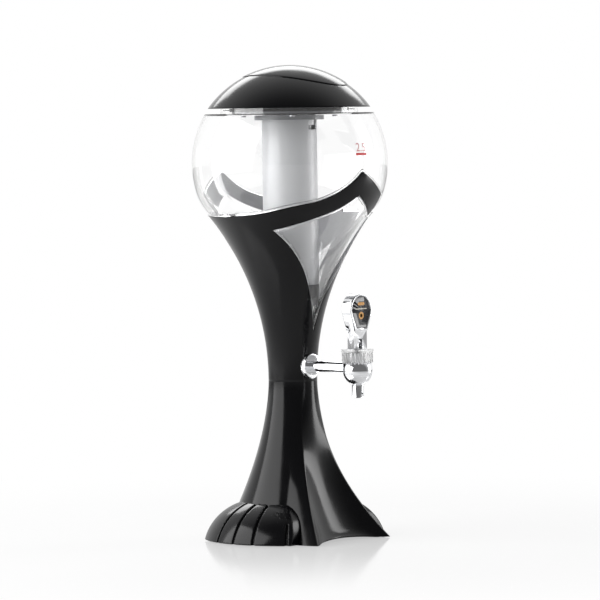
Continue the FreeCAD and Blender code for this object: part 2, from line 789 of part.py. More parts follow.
def lower_shell():
    """The flared base with its two front fins, open underneath."""
    low = float(size("base_edge"))
    seam = float(size("seam_height"))
    wall = float(size("shell_wall"))
    blank = base_loft(0, low, seam)
    hollow = base_loft(wall, low - OVERCUT / 2, seam + OVERCUT / 2)
    shape = blank.cut(hollow)
    catch_foot = float(height("catch"))
    catch_bore = float(size("neck_radius") - size("shell_wall") - size("catch_overlap"))
    catch_depth = float(size("catch_depth"))
    ring = Part.makeCylinder(float(size("neck_radius")), catch_depth, vector(0, 0, catch_foot))
    under = vector(0, 0, catch_foot - OVERCUT)
    ring = ring.cut(Part.makeCylinder(catch_bore, catch_depth + 2 * OVERCUT, under))
    for angle in (60, 180, 300):
        arc = float(size("lug_arc") + size("catch_play"))
        notch = Part.makeCylinder(BEYOND, catch_depth + 2 * OVERCUT, under,
                                  FreeCAD.Vector(0, 0, 1), arc)
        ring = ring.cut(turned_copy(notch, angle - arc / 2))
    shape = shape.fuse(ring.common(blank))
    seat = float(size("plate_seat") + size("base_plate_thickness"))
    for spot in screw_places(size("base_screw_circle"), 4, 45):
        post = Part.makeCylinder(float(size("base_post_radius")), seam / 2,
                                 vector(spot.x, spot.y, seat)).common(blank)
        bore = float(size("screw_length"))
        shape = shape.fuse(drill(post, spot.x, spot.y, seat - 1, size("screw_radius"), bore))
    half = float(size("fin_reach")) * math.sin(math.radians(float(size("fin_angle")))) * 0.86
    rise = float(size("front_arch"))
    radius = (half ** 2 + rise ** 2) / (2 * rise)
    arch = Part.makeCylinder(radius, BEYOND, vector(0, -float(size("arch_start")), low + rise - radius),
                             FreeCAD.Vector(0, -1, 0))
    return solid("lower_shell", shape.cut(arch).removeSplitter())


def base_plate():
    """The plate that closes the base, with holes for its screws and feet."""
    seat = float(size("plate_seat"))
    thick = float(size("base_plate_thickness"))
    inset = float(size("shell_wall") + size("fit_gap") * 2)
    ring = base_ring(seat + thick, inset)
    ring.translate(FreeCAD.Vector(0, 0, -thick))
    shape = Part.Face(ring).extrude(FreeCAD.Vector(0, 0, thick))
    hole = size("screw_radius") + size("stem_gap")
    for spot in screw_places(size("base_screw_circle"), 4, 45):
        shape = drill(shape, spot.x, spot.y, seat - 1, hole, thick + 2)
    return solid("base_plate", shape)


def rubber_feet():
    """Four round feet under the base plate."""
    body = new_body("rubber_feet")
    circle_radius = size("foot_circle")
    seat = size("plate_seat")
    foot = size("foot_radius")
    bevel = size("base_edge")
    sketch = sketch_on(body, "rubber_feet_outline")
    outline(sketch, [(circle_radius, 0), (circle_radius + foot - bevel, 0),
                     (circle_radius + foot, bevel), (circle_radius + foot, seat),
                     (circle_radius, seat)])
    line = Part.LineSegment(vector(circle_radius, 0, 0), vector(circle_radius, seat, 0))
    edge = sketch.addGeometry(line, True)
    pin_point(sketch, edge, 1, circle_radius, 0, "axis_foot")
    pin_point(sketch, edge, 2, circle_radius, seat, "axis_head")
    feature = body.newObject("PartDesign::Revolution", "rubber_foot")
    feature.Profile = sketch
    feature.ReferenceAxis = (sketch, ["Axis0"])
    feature.Angle = 360
    DOC.recompute()
    polar(body, feature, 4, "ring")
    place(body, turn=((0, 0, 1), 45))
    return body


def paw_form(inset):
    """A paw cover's full form on the +X side, moved inwards by an inset."""
    reach = float(size("paw_reach")) - inset
    tall = float(size("paw_height")) - inset
    half = float(size("paw_half_width")) - inset
    low = float(size("base_edge"))
    whole = float(size("paw_reach"))
    back = whole * 0.207
    face = smooth_face([
        (back, low), (reach, low), (reach - whole * 0.057, low + tall * 0.30),
        (reach - whole * 0.171, low + tall * 0.62), (reach - whole * 0.373, low + tall * 0.90),
        (back, low + tall * 1.02)])
    swept = 130
    turned = face.revolve(FreeCAD.Vector(0, 0, 0), FreeCAD.Vector(0, 0, 1), swept)
    turned = turned_copy(turned, -swept / 2)
    arch = [FreeCAD.Vector(0, -half, low), FreeCAD.Vector(0, -half * 0.93, low + tall * 0.42),
            FreeCAD.Vector(0, -half * 0.66, low + tall * 0.84), FreeCAD.Vector(0, 0, low + tall),
            FreeCAD.Vector(0, half * 0.66, low + tall * 0.84),
            FreeCAD.Vector(0, half * 0.93, low + tall * 0.42), FreeCAD.Vector(0, half, low)]
    gate = wire_solid([smooth_edge(arch), Part.makeLine(arch[-1], arch[0])],
                      FreeCAD.Vector(BEYOND, 0, 0))
    return turned.common(gate)


def smooth_face(points):
    """A face in the XZ plane: foot, smooth front through the middle points, back."""
    spots = [FreeCAD.Vector(x, 0, z) for x, z in points]
    front = smooth_edge(spots[1:])
    edges = [Part.makeLine(spots[0], spots[1]), front, Part.makeLine(spots[-1], spots[0])]
    return Part.Face(Part.Wire(edges))


def paw_cover(label, side):
    """A rounded cover with toes on one side of the base."""
    low = float(size("base_edge"))
    gap = float(size("web_gap"))
    whole = paw_form(0)
    shape = whole.cut(paw_form(float(size("paw_wall"))))
    core = paw_form(float(size("toe_groove_depth")))
    width = float(size("toe_groove_width"))
    tall = float(size("paw_height"))
    start = float(size("toe_start"))
    for angle, rise in ((-36, tall / 2), (-14, tall), (1, tall), (16, tall)):
        slab = Part.makeBox(BEYOND, width, rise + OVERCUT, vector(start, -width / 2, low - OVERCUT))
        shape = shape.cut(turned_copy(slab, angle).cut(core))
    if side < 0:
        shape = shape.mirror(FreeCAD.Vector(0, 0, 0), FreeCAD.Vector(1, 0, 0))
    seat = base_loft(-gap, low - OVERCUT / 2, float(size("seam_height")))
    shape = shape.cut(seat)
    biggest = max(shape.Solids, key=lambda item: item.Volume)
    return solid(label, biggest)


# Lid

def dome_radius():
    """Radius of the lid's dome, from its rim and its rise."""
    rim = size("lid_rim_radius")
    rise = size("lid_rise")
    return worked("lid_dome_radius", (rim * rim + rise * rise) / (2 * rise))


def crest_prism(grow):
    """An upright prism of the top cap's egg-shaped outline."""
    long_half = float(size("crest_length")) + grow
    short_half = float(size("crest_width")) + grow
    oval = Part.Ellipse(FreeCAD.Vector(0, 0, 0), long_half, short_half).toShape()
    oval.rotate(FreeCAD.Vector(0, 0, 0), FreeCAD.Vector(0, 0, 1), 90)
    oval.translate(vector(0, -float(size("crest_shift")), float(height("lid_rim"))))
    prism = Part.Face(Part.Wire(oval)).extrude(FreeCAD.Vector(0, 0, float(size("lid_rise")) * 2))
    return turned_copy(prism, size("crest_turn"))


def lid_parts():
    """The lid's dome, its raised top cap, inner plate, seal and screws."""
    radius = dome_radius()
    rim = size("lid_rim_radius")
    low = height("lid_rim")
    wall = size("lid_wall")
    middle = worked("lid_dome_middle", low + size("lid_rise") - radius)
    inside = radius - wall
    inner_rim = worked("lid_inner_rim", root(inside * inside - (low - middle) * (low - middle)))
    web_low = height("mouth_top") + size("web_gap")
    web_high = web_low + size("web_thickness")
    web_bore = size("web_inner_radius")
    lift = web_low - middle
    web_root = worked("lid_web_root", root(inside * inside - lift * lift))
    lift = web_high - middle
    web_top_root = worked("lid_web_top_root", root(inside * inside - lift * lift))
    body = new_body("lid_dome_blank")
    revolve(body, [(inner_rim, low), (rim, low), (0, low + size("lid_rise"), radius, 1),
                   (0, middle + inside), (web_top_root, web_high, inside, -1),
                   (web_bore, web_high), (web_bore, web_low), (web_root, web_low)])
    blank = body.Shape.copy()
    DOC.removeObject(body.Name)
    centre = vector(0, 0, middle)
    sunk = Part.makeSphere(float(radius - size("crest_sink")), centre)
    proud = Part.makeSphere(float(radius + size("crest_proud")), centre)
    recess = crest_prism(float(size("crest_gap"))).cut(sunk)
    shape = blank.cut(recess)
    plate_top = height("plate") + size("plate_thickness")
    for spot in screw_places(size("lid_post_circle"), 4, 45):
        post = Part.makeCylinder(float(size("lid_post_radius")), float(size("lid_rise")),
                                 vector(spot.x, spot.y, plate_top))
        post = post.common(Part.makeSphere(float(inside) + 0.4, centre))
        post = drill(post, spot.x, spot.y, float(plate_top) - 1, size("screw_radius"),
                     size("screw_length"))
        shape = shape.fuse(post)
    solid("lid_dome", shape.removeSplitter())
    solid("lid_top_cap", crest_prism(0).cut(sunk).common(proud))

    plate = new_body("lid_inner_plate")
    outside = size("plate_radius")
    bore = outside - size("plate_wall")
    foot = height("plate")
    revolve(plate, [(0, foot), (outside, foot), (outside, web_low), (bore, web_low),
                    (bore, plate_top), (0, plate_top)])
    sketch = sketch_on(plate, "plate_screw_outline", "XY_Plane", foot)
    circle(sketch, size("lid_post_circle"), 0, size("screw_radius") + size("stem_gap"))
    hole = pocket(plate, sketch, size("plate_thickness"), "screw_hole", backwards=True)
    polar(plate, hole, 4, "screw_holes")
    place(plate, turn=((0, 0, 1), 45))
    screws("lid_screws", size("lid_post_circle"), foot, 4, 45)

    seal = new_body("lid_seal")
    reach = size("mouth_radius") - size("tank_wall") - size("web_gap")
    low = height("seal")
    high = low + size("seal_thickness")
    neck = outside + size("plate_wall")
    revolve(seal, [(outside, low), (neck, low), (neck, low + size("seal_thickness") / 3),
                   (reach, low + size("seal_thickness") / 3),
                   (reach, high - size("seal_thickness") / 3),
                   (neck, high - size("seal_thickness") / 3), (neck, high), (outside, high)])


def tube_collar():
    """The bayonet collar under the lid, with two pins that hold the ice tube."""
    body = new_body("tube_collar")
    top = height("plate")
    low = top - size("collar_depth")
    bore = size("tube_radius") + size("web_gap")
    revolve(body, [(bore, low), (size("collar_radius"), low), (size("collar_radius"), top), (bore, top)])
    base = body.Shape.copy()
    DOC.removeObject(body.Name)
    inner = float(size("tube_radius") - size("tube_wall") - size("web_gap"))
    tab_wall = float(size("tube_wall"))
    pin = float(size("lug_radius"))
    lug_height = float(height("lug"))
    foot = lug_height - pin - OVERCUT
    hole = Part.makeCylinder(inner - tab_wall, BEYOND, vector(0, 0, foot - OVERCUT))
    strip = Part.makeBox(pin * 4, BEYOND, BEYOND, vector(-pin * 2, -BEYOND / 2, foot))
    tabs = Part.makeCylinder(inner, float(top) - foot, vector(0, 0, foot))
    bridge_low = float(height("tube_top") + size("web_gap"))
    bridge = Part.makeCylinder(float(bore) + tab_wall, float(top) - bridge_low,
                               vector(0, 0, bridge_low))
    reach = float(size("tube_radius") - size("web_gap"))
    limit = Part.makeCylinder(reach, pin * 4, vector(0, 0, lug_height - pin * 2))
    limit = limit.cut(Part.makeCylinder(inner - tab_wall / 2, BEYOND, vector(0, 0, foot - pin)))
    rod = Part.makeCylinder(pin, BEYOND, vector(0, -BEYOND / 2, lug_height), FreeCAD.Vector(0, 1, 0))
    shape = base.fuse([tabs.cut(hole).common(strip), bridge.cut(hole).common(strip),
                       rod.common(limit)])
    return solid("tube_collar", shape)


def ice_tube():
    """The tube that holds ice, with a bent slot for each bayonet pin."""
    body = new_body("ice_tube_blank")
    outside = size("tube_radius")
    bore = outside - size("tube_wall")
    revolve(body, [(bore, height("tube_foot")), (outside, height("tube_foot")),
                   (outside, height("tube_top")), (bore, height("tube_top"))])
    blank = body.Shape.copy()
    DOC.removeObject(body.Name)
    half = float(size("lug_radius") + size("web_gap"))
    level = float(height("lug"))
    turn = float(size("lug_turn"))
    top = float(height("tube_top"))
    pad_angle = math.degrees(half / float(outside))
    sector = Part.makeCylinder(BEYOND, half * 2, vector(0, 0, level - half),
                               FreeCAD.Vector(0, 0, 1), turn + pad_angle * 2)
    slot = turned_copy(sector, -90 - pad_angle)
    leg = Part.makeCylinder(BEYOND, top - level + half + OVERCUT, vector(0, 0, level - half),
                            FreeCAD.Vector(0, 0, 1), pad_angle * 2)
    slot = slot.fuse(turned_copy(leg, -90 + turn - pad_angle))
    return solid("ice_tube", blank.cut(slot).cut(turned_copy(slot, 180)))


def ice_tube_cap():
    """The cup that closes the foot of the ice tube, and its sealing ring."""
    cap = new_body("ice_tube_end_cap")
    outside = size("tube_radius")
    seat = height("tube_foot")
    low = seat - size("cap_depth")
    wall = size("tube_wall")
    spigot = outside - wall - size("fit_gap") / 4
    hollow = spigot - wall * 2
    groove = spigot - wall
    ring_low = seat + size("cap_spigot") / 2
    ring_high = ring_low + wall * 1.6
    top = seat + size("cap_spigot")
    bevel = wall * 2
    revolve(cap, [(0, low), (outside - bevel, low), (outside, low + bevel, bevel, 1), (outside, seat),
                  (spigot, seat), (spigot, ring_low), (groove, ring_low), (groove, ring_high),
                  (spigot, ring_high), (spigot, top), (hollow, top), (hollow, low + wall),
                  (0, low + wall)])
    ring = new_body("ice_tube_seal")
    revolve(ring, [(groove, ring_low), (spigot + size("fit_gap") / 8, ring_low),
                   (spigot + size("fit_gap") / 8, ring_high), (groove, ring_high)])


# Tap

def lay_forwards(body):
    """Turn a body so that its own Z axis runs along the tap's pipe."""
    place(body, z=height("tap"), turn=((1, 0, 0), 90))


def tap_pipe(neck_fit):
    """Pipe, flange, washer and nut that carry the tap through the neck."""
    inside = size("boss_face") - size("washer_thickness")
    start = inside - size("nut_thickness") - size("washer_thickness")
    end = size("tap_reach") - size("chamber_radius")
    radius = size("pipe_radius")
    pipe = new_body("tap_pipe")
    revolve(pipe, [(size("pipe_bore"), start), (radius, start), (radius, end), (size("pipe_bore"), end)])
    lay_forwards(pipe)
    hole = radius + size("stem_gap")
    washer = new_body("tank_washer")
    revolve(washer, [(hole, inside), (size("boss_radius"), inside),
                     (size("boss_radius"), size("boss_face")), (hole, size("boss_face"))])
    lay_forwards(washer)
    nut = new_body("tank_nut")
    low = inside - size("nut_thickness")
    sketch = sketch_on(nut, "tank_nut_outline", "XY_Plane", low)
    across = size("nut_flats") / 2
    corner = across / cosine(Dim(30, "30"))
    half = corner / 2
    outline(sketch, [(corner, 0), (half, across), (-half, across), (-corner, 0),
                     (-half, -across), (half, -across)])
    circle(sketch, 0, 0, hole)
    pad(nut, sketch, size("nut_thickness"), "hexagon")
    lay_forwards(nut)
    flange = new_body("tap_flange_blank")
    face = size("flange_face")
    reach = size("flange_radius")
    soft = size("base_edge") * 1.5
    start = size("neck_radius") - size("flange_radius") / 2
    revolve(flange, [(hole, start), (reach, start), (reach, face - soft),
                     (reach - soft, face, soft, 1), (hole, face)])
    lay_forwards(flange)
    DOC.recompute()
    shape = flange.Shape.copy()
    DOC.removeObject(flange.Name)
    form = new_body("neck_form")
    middle = size("ball_height")
    revolve(form, [(0, size("seam_height")), (neck_fit.neck_radius(), size("seam_height")),
                   (neck_fit.neck_radius(), height("flare"))]
            + neck_fit.upwards(middle) + [(0, middle)])
    shape = shape.cut(form.Shape)
    DOC.removeObject(form.Name)
    solid("tap_flange", max(shape.Solids, key=lambda item: item.Volume))


def stand_at_tap(body):
    """Put a body's own axis on the tap's upright axis."""
    place(body, y=-size("tap_reach"))


def tap_body():
    """The chrome bowl with its chamber, valve seat and neck."""
    body = new_body("tap_body")
    radius = size("bowl_radius")
    middle = height("bowl_bottom") + radius
    chamber = size("chamber_radius")
    outlet = size("outlet_bore")
    seat = height("seat")
    spout = size("spout_radius")
    foot = worked("bowl_foot", middle - root(radius * radius - spout * spout))
    neck = size("bowl_neck_radius")
    slope = size("plug_radius") + size("stem_gap") * 2
    revolve(body, [(outlet, foot), (spout, foot), (radius, middle, radius, 1),
                   (radius, height("bowl_top")), (neck, height("bowl_top")), (neck, height("bowl_neck_top")),
                   (chamber, height("bowl_neck_top")), (chamber, seat), (slope, seat),
                   (outlet, seat - (slope - outlet))])
    stand_at_tap(body)
    sketch = sketch_on(body, "tap_body_inlet_outline")
    circle(sketch, 0, height("tap"), size("pipe_radius") + size("stem_gap") / 2)
    pocket(body, sketch, radius, "inlet")
    spout_body = new_body("tap_spout")
    tip = height("spout_tip")
    bevel = size("base_edge") / 2
    revolve(spout_body, [(size("spout_bore"), tip), (spout - bevel, tip), (spout, tip + bevel),
                         (spout, foot), (size("spout_bore"), foot)])
    sketch = sketch_on(spout_body, "tap_spout_vent_outline")
    circle(sketch, 0, tip + size("spout_bore"), size("stem_radius") / 2)
    pocket(spout_body, sketch, spout, "vent", backwards=True)
    stand_at_tap(spout_body)


def collar_nut():
    """The ribbed nut over the bowl, which guides the valve stem."""
    body = new_body("tap_collar_nut")
    low = height("bowl_top")
    top = height("collar_nut_top")
    under = top - size("collar_nut_cap")
    bore = size("bowl_neck_radius") + size("stem_gap")
    hole = size("stem_radius") + size("stem_gap")
    radius = size("collar_nut_radius")
    rim = size("collar_nut_rim")
    step = (rim - radius) / 2
    revolve(body, [(bore, low), (radius, low), (radius, under - step), (rim, under),
                   (rim, top), (hole, top), (hole, under), (bore, under)])
    sketch = sketch_on(body, "collar_rib_outline", "XY_Plane", low)
    circle(sketch, radius, 0, size("rib_radius"))
    rib = pad(body, sketch, under - step - low, "rib")
    polar(body, rib, size("rib_count"), "ribs")
    stand_at_tap(body)


def valve():
    """Stem with its eye, the rubber plug and the spring over it."""
    stem = new_body("valve_stem")
    radius = size("stem_radius")
    seat = height("seat")
    foot = seat + size("stem_gap")
    plug_top = foot + size("plug_thickness")
    shoulder = plug_top + size("web_gap") * 5
    disc = size("plug_radius")
    pin_height = height("pin")
    revolve(stem, [(0, foot), (radius, foot), (radius, plug_top), (disc, plug_top),
                   (disc, shoulder), (radius, shoulder), (radius, pin_height), (0, pin_height)])
    sketch = sketch_on(stem, "stem_eye_outline", "YZ_Plane")
    circle(sketch, 0, pin_height, size("eye_radius"))
    pad(stem, sketch, size("eye_width"), "eye", middle=True)
    sketch = sketch_on(stem, "stem_pin_hole_outline", "YZ_Plane")
    circle(sketch, 0, pin_height, size("pin_radius") + size("stem_gap"))
    pocket(stem, sketch, size("lever_width"), "pin_hole", middle=True)
    stand_at_tap(stem)
    plug = new_body("valve_plug")
    lip = size("outlet_bore")
    low = seat - (disc - lip)
    bore = radius + size("stem_gap") / 4
    revolve(plug, [(0, low), (lip, low), (disc, seat + size("stem_gap")), (disc, plug_top),
                   (bore, plug_top), (bore, foot - size("stem_gap") / 2), (0, foot - size("stem_gap") / 2)])
    stand_at_tap(plug)
    top = height("collar_nut_top") - size("collar_nut_cap")
    tap_spring(float(shoulder), float(top))


def tap_spring(low, high):
    """A coil spring wound as quarter turns, each made of two arcs that meet smoothly."""
    wire = float(size("spring_wire"))
    radius = float(size("spring_radius"))
    turns = int(float(size("spring_turns")))
    gap = float(size("stem_gap"))
    low += wire + gap
    high -= wire + gap
    rise = (high - low) / turns
    steps = turns * 4

    def spot(step):
        angle = math.pi / 2 * step
        return vector(radius * math.cos(angle), radius * math.sin(angle), low + rise / 4 * step)

    def heading(step):
        angle = math.pi / 2 * step
        way = vector(-radius * math.sin(angle), radius * math.cos(angle), rise / math.pi / 2)
        return way.normalize()

    edges = []
    for step in range(steps):
        edges += smooth_pair(spot(step), heading(step), spot(step + 1), heading(step + 1))
    path = Part.Wire(edges)
    ring = Part.Wire(Part.Circle(spot(0), heading(0), wire).toShape())
    shape = path.makePipeShell([ring], True, False)
    along = path.discretize(Number=turns * 24)
    apart = [(one - other).Length for index, one in enumerate(along) for other in along[index + 12:]]
    print(f"spring: least gap to itself {min(apart) - wire * 2:.2f} mm")
    thing = solid("tap_spring", shape)
    place(thing, y=-size("tap_reach"))


def smooth_pair(start, way, end, end_way):
    """Two arcs that leave one point and reach another along given ways."""
    span = end - start
    both = way + end_way
    first = span.dot(both)
    second = 2 * (1 - way.dot(end_way))
    reach = (-first + math.sqrt(first ** 2 + span.dot(span) * second)) / second
    left = start + way * reach
    right = end - end_way * reach
    joint = (left + right) * 0.5

    def arc(point, direction, target):
        chord = target - point
        normal = direction.cross(chord).cross(direction).normalize()
        radius = chord.dot(chord) / (2 * chord.dot(normal))
        centre = point + normal * radius
        middle = (point + target) * 0.5 - centre
        return Part.Arc(point, centre + middle.normalize() * radius, target).toShape()

    return [arc(start, way, joint), arc(end, end_way * -1, joint)]


def head_points(inset):
    """The lever's balloon outline, moved inwards by an inset."""
    radius = size("head_radius") - inset
    middle = height("head_top") - size("head_radius")
    foot = size("lever_width") / 2 - inset
    low = height("lever_shoulder") + inset
    drop = worked(f"head_drop_{int(float(inset) * 10)}", radius * 0.35)
    side = worked(f"head_side_{int(float(inset) * 10)}", root(radius * radius - drop * drop))
    return [(-foot, low), (foot, low), (side, middle - drop), (0, middle + radius, radius, 1),
            (-side, middle - drop, radius, 1)]


def lever():
    """The tipping lever with its balloon head, badge and pin."""
    body = new_body("tap_lever")
    low = height("collar_nut_top") + size("lever_gap")
    half = size("lever_width") / 2
    join = height("lever_shoulder") + size("head_radius") / 4
    sketch = sketch_on(body, "lever_foot_outline")
    outline(sketch, [(-half, low), (half, low), (half, join), (-half, join)])
    pad(body, sketch, size("lever_depth"), "foot", middle=True)
    sketch = sketch_on(body, "lever_head_outline")
    outline(sketch, head_points(Dim(0, "0")))
    head = pad(body, sketch, size("head_depth"), "head", middle=True)
    soft = size("badge_rim") / 2
    fillet = body.newObject("PartDesign::Fillet", "lever_soft_edge")
    flat = float(size("head_depth")) / 2
    names = []
    for index, edge in enumerate(head.Shape.Edges, start=1):
        box = edge.BoundBox
        at_face = abs(abs(box.YMin) - flat) < 0.01 and abs(abs(box.YMax) - flat) < 0.01
        if at_face and box.YMax - box.YMin < 0.01 and box.ZMax > float(join):
            names.append(f"Edge{index}")
    fillet.Base = (head, names)
    bind(fillet, "Radius", soft)
    body.Tip = fillet
    DOC.recompute()
    rim = size("badge_rim")
    sketch = sketch_on(body, "lever_badge_outline", offset=size("head_depth") / 2)
    outline(sketch, head_points(rim))
    pocket(body, sketch, size("badge_recess"), "badge_recess")
    sketch = sketch_on(body, "lever_slot_outline")
    slot = size("eye_width") / 2 + size("lever_gap")
    top = height("pin") + size("eye_radius") + size("lever_gap")
    outline(sketch, [(-slot, low), (slot, low), (slot, top), (-slot, top)])
    pocket(body, sketch, size("lever_depth"), "slot_front", backwards=True)
    sketch = sketch_on(body, "lever_slot_back_outline")
    outline(sketch, [(-slot, low), (slot, low), (slot, top), (-slot, top)])
    pocket(body, sketch, size("eye_radius") + size("lever_gap"), "slot_back")
    sketch = sketch_on(body, "lever_pin_hole_outline", "YZ_Plane")
    circle(sketch, 0, height("pin"), size("pin_radius"))
    pocket(body, sketch, size("lever_width") + 1, "pin_hole", middle=True)
    stand_at_tap(body)
    pin = new_body("lever_pin")
    sketch = sketch_on(pin, "lever_pin_outline", "YZ_Plane")
    circle(sketch, 0, height("pin"), size("pin_radius"))
    pad(pin, sketch, size("lever_width"), "rod", middle=True)
    stand_at_tap(pin)
    badge = new_body("badge_plate")
    floor = size("head_depth") / 2 - size("badge_recess")
    sketch = sketch_on(badge, "badge_outline", offset=floor)
    outline(sketch, head_points(rim + size("stem_gap") * 2))
    pad(badge, sketch, size("badge_thickness"), "plate")
    stand_at_tap(badge)


def check_and_write():
    """Check every object, then write each piece to its own file."""
    pieces = []
    for thing in DOC.Objects:
        if {"Invalid", "Error"} & set(thing.State):
            raise ValueError(f"{thing.Label} failed: {thing.State}")
        if thing.TypeId in ("PartDesign::Body", "Part::Feature"):
            pieces.append(thing)
    for thing in pieces:
        shape = thing.Shape
        if shape.isNull() or not shape.isValid() or not shape.Solids:
            raise ValueError(f"{thing.Label} has no sound solid")
    os.makedirs("parts", exist_ok=True)
    for thing in pieces:
        thing.Shape.exportStep(f"parts/{thing.Label}.step")
    print(f"{len(pieces)} pieces")


def main():
    """Build the tower, check it and write its pieces."""
    fill_sheet()
    middles = flare_points()
    depth = size("shell_wall")
    shell_out = Contour("shell_outer", middles, Dim(0, "0"))
    shell_in = Contour("shell_inner", middles, depth)
    depth = depth + size("fit_gap")
    tank_out = Contour("tank_outer", middles, depth)
    tank_in = Contour("tank_inner", middles, depth + size("tank_wall"))
    upper_shell(shell_out, shell_in)
    tank(tank_out, tank_in)
    coupling()
    screws("neck_screws", size("neck_screw_circle"), size("seam_height") - size("coupling_disc"), 3, 90)
    lower_shell()
    base_plate()
    screws("base_screws", size("base_screw_circle"), size("plate_seat"), 4, 45)
    rubber_feet()
    paw_cover("paw_cover_right", 1)
    paw_cover("paw_cover_left", -1)
    lid_parts()
    tube_collar()
    ice_tube()
    ice_tube_cap()
    tap_pipe(Contour("flange_fit", middles, -size("stem_gap")))
    tap_body()
    collar_nut()
    valve()
    lever()
    DOC.recompute()
    check_and_write()


main()
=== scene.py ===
"""Looks of a table-top drink tower, dressed over its fixed frame.

Lengths are written in millimetres, as on a drawing, and go into the meshes in
metres. The tower's axis is Z, the table is at zero height and the tap points
along -Y.
"""

import logging
import math
from collections.abc import Iterator, Sequence
from contextlib import contextmanager
from dataclasses import dataclass, field
from enum import Enum
from typing import Any

import bpy
from mathutils import Matrix, Vector


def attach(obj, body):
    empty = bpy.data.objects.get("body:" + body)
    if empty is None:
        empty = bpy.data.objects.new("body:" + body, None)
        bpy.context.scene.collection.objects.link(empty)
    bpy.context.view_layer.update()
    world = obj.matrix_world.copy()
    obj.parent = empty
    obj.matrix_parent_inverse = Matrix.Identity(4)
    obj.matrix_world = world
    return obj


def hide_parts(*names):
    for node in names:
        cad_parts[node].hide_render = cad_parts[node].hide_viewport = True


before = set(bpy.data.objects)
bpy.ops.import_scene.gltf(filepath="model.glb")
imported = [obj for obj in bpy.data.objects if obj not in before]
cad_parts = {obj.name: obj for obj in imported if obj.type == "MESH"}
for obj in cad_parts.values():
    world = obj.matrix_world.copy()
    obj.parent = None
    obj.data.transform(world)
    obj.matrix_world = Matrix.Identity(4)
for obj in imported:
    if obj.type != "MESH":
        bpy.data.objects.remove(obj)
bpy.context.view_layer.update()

LOG = logging.getLogger("tower")
MM = 0.001
VIEW_AZIMUTH = -48.5
SHARP_EDGE = 40.0
INWARD_REACH = 0.012
WELD = 3e-6
FRAME_WELD = 1e-6

Object = bpy.types.Object
Material = bpy.types.Material
Profile = list[tuple[float, float]]


class Body(Enum):
    """The rigid bodies of the tower."""

    TOWER = "tower"
    VALVE = "valve"
    LEVER = "lever"
    LID = "lid"
    ICE = "ice_holder"


# Modelling


def only(thing: Object) -> None:
    """Leave one object selected and active."""
    bpy.ops.object.select_all(action="DESELECT")
    thing.select_set(True)
    bpy.context.view_layer.objects.active = thing


@contextmanager
def editing(thing: Object) -> Iterator[None]:
    """Open an object's mesh for editing, with all of it selected."""
    only(thing)
    bpy.ops.object.mode_set(mode="EDIT")
    bpy.ops.mesh.select_all(action="SELECT")
    yield
    bpy.ops.object.mode_set(mode="OBJECT")


def loop_of(name: str, points: Sequence[Vector]) -> Object:
    """Make a closed loop of edges.

    Args:
        name: Name of the new object.
        points: Its corners in order, in millimetres.

    Returns:
        The new object, still without faces.
    """
    bpy.ops.object.select_all(action="DESELECT")
    bpy.ops.mesh.primitive_circle_add(vertices=len(points), radius=1.0)
    made = bpy.context.object
    made.name = name
    for vertex, point in zip(made.data.vertices, points):
        vertex.co = point * MM
    return made


def close_up(thing: Object) -> None:
    """Merge what meets, drop loose edges and point all faces outwards."""
    with editing(thing):
        bpy.ops.mesh.remove_doubles(threshold=WELD)
        bpy.ops.mesh.delete_loose()
        bpy.ops.mesh.select_all(action="SELECT")
        bpy.ops.mesh.normals_make_consistent(inside=False)


def turned(name: str, profile: Profile, steps: int = 128) -> Object:
    """Turn a closed outline about the Z axis.

    Args:
        name: Name of the new object.
        profile: Corners as (radius, height) in millimetres.
        steps: How many steps make the full turn.

    Returns:
        The closed solid.
    """
    made = loop_of(name, [Vector((radius, 0, height)) for radius, height in profile])
    with editing(made):
        bpy.ops.mesh.spin(steps=steps, angle=math.tau, center=(0, 0, 0), axis=(0, 0, 1))
    close_up(made)
    return made


def raised(name: str, outline: Sequence[Vector], way: Vector) -> Object:
    """Raise a flat outline into a solid.

    Args:
        name: Name of the new object.
        outline: Corners in order, in millimetres.
        way: How far and which way the outline is raised, in millimetres.

    Returns:
        The closed solid.
    """
    made = loop_of(name, outline)
    with editing(made):
        bpy.ops.mesh.edge_face_add()
        bpy.ops.mesh.extrude_region_move(TRANSFORM_OT_translate={"value": way * MM})
    close_up(made)
    return made


def skinned(name: str, rings: Sequence[Sequence[Vector]], around: bool) -> Object:
    """Lay a grid of faces over rows of points.

    Args:
        name: Name of the new object.
        rings: Rows with equally many points each, in millimetres.
        around: True where each row closes on itself.

    Returns:
        The skin, without thickness.
    """
    rows = [list(ring) + ([ring[0]] if around else []) for ring in rings]
    bpy.ops.object.select_all(action="DESELECT")
    bpy.ops.mesh.primitive_grid_add(
        x_subdivisions=len(rows[0]) - 1, y_subdivisions=len(rows) - 1, size=1.0)
    made = bpy.context.object
    made.name = name
    flat = [part * MM for row in rows for point in row for part in point]
    made.data.vertices.foreach_set("co", flat)
    made.data.update()
    close_up(made)
    return made


def modify(thing: Object, kind: str, **settings: Any) -> None:
    """Add a modifier with its settings and apply it."""
    only(thing)
    modifier = thing.modifiers.new(kind.lower(), kind)
    for key, value in settings.items():
        setattr(modifier, key, value)
    bpy.ops.object.modifier_apply(modifier=modifier.name)


def trim(thing: Object, tool: Object, how: str = "DIFFERENCE") -> None:
    """Cut an object with a tool, or keep what they share, and drop the tool."""
    modify(thing, "BOOLEAN", operation=how, object=tool, solver="EXACT")
    bpy.data.objects.remove(tool)


def copy_of_node(name: str, node: str) -> Object:
    """A merged copy of a frame node, as a start for a finer piece."""
    made = bpy.data.objects.new(name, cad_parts[node].data.copy())
    bpy.context.collection.objects.link(made)
    with editing(made):
        bpy.ops.mesh.remove_doubles(threshold=FRAME_WELD)
    return made


def turn_about_axis(thing: Object, degrees: float) -> None:
    """Turn a mesh about the tower's axis."""
    thing.data.transform(Matrix.Rotation(math.radians(degrees), 4, "Z"))


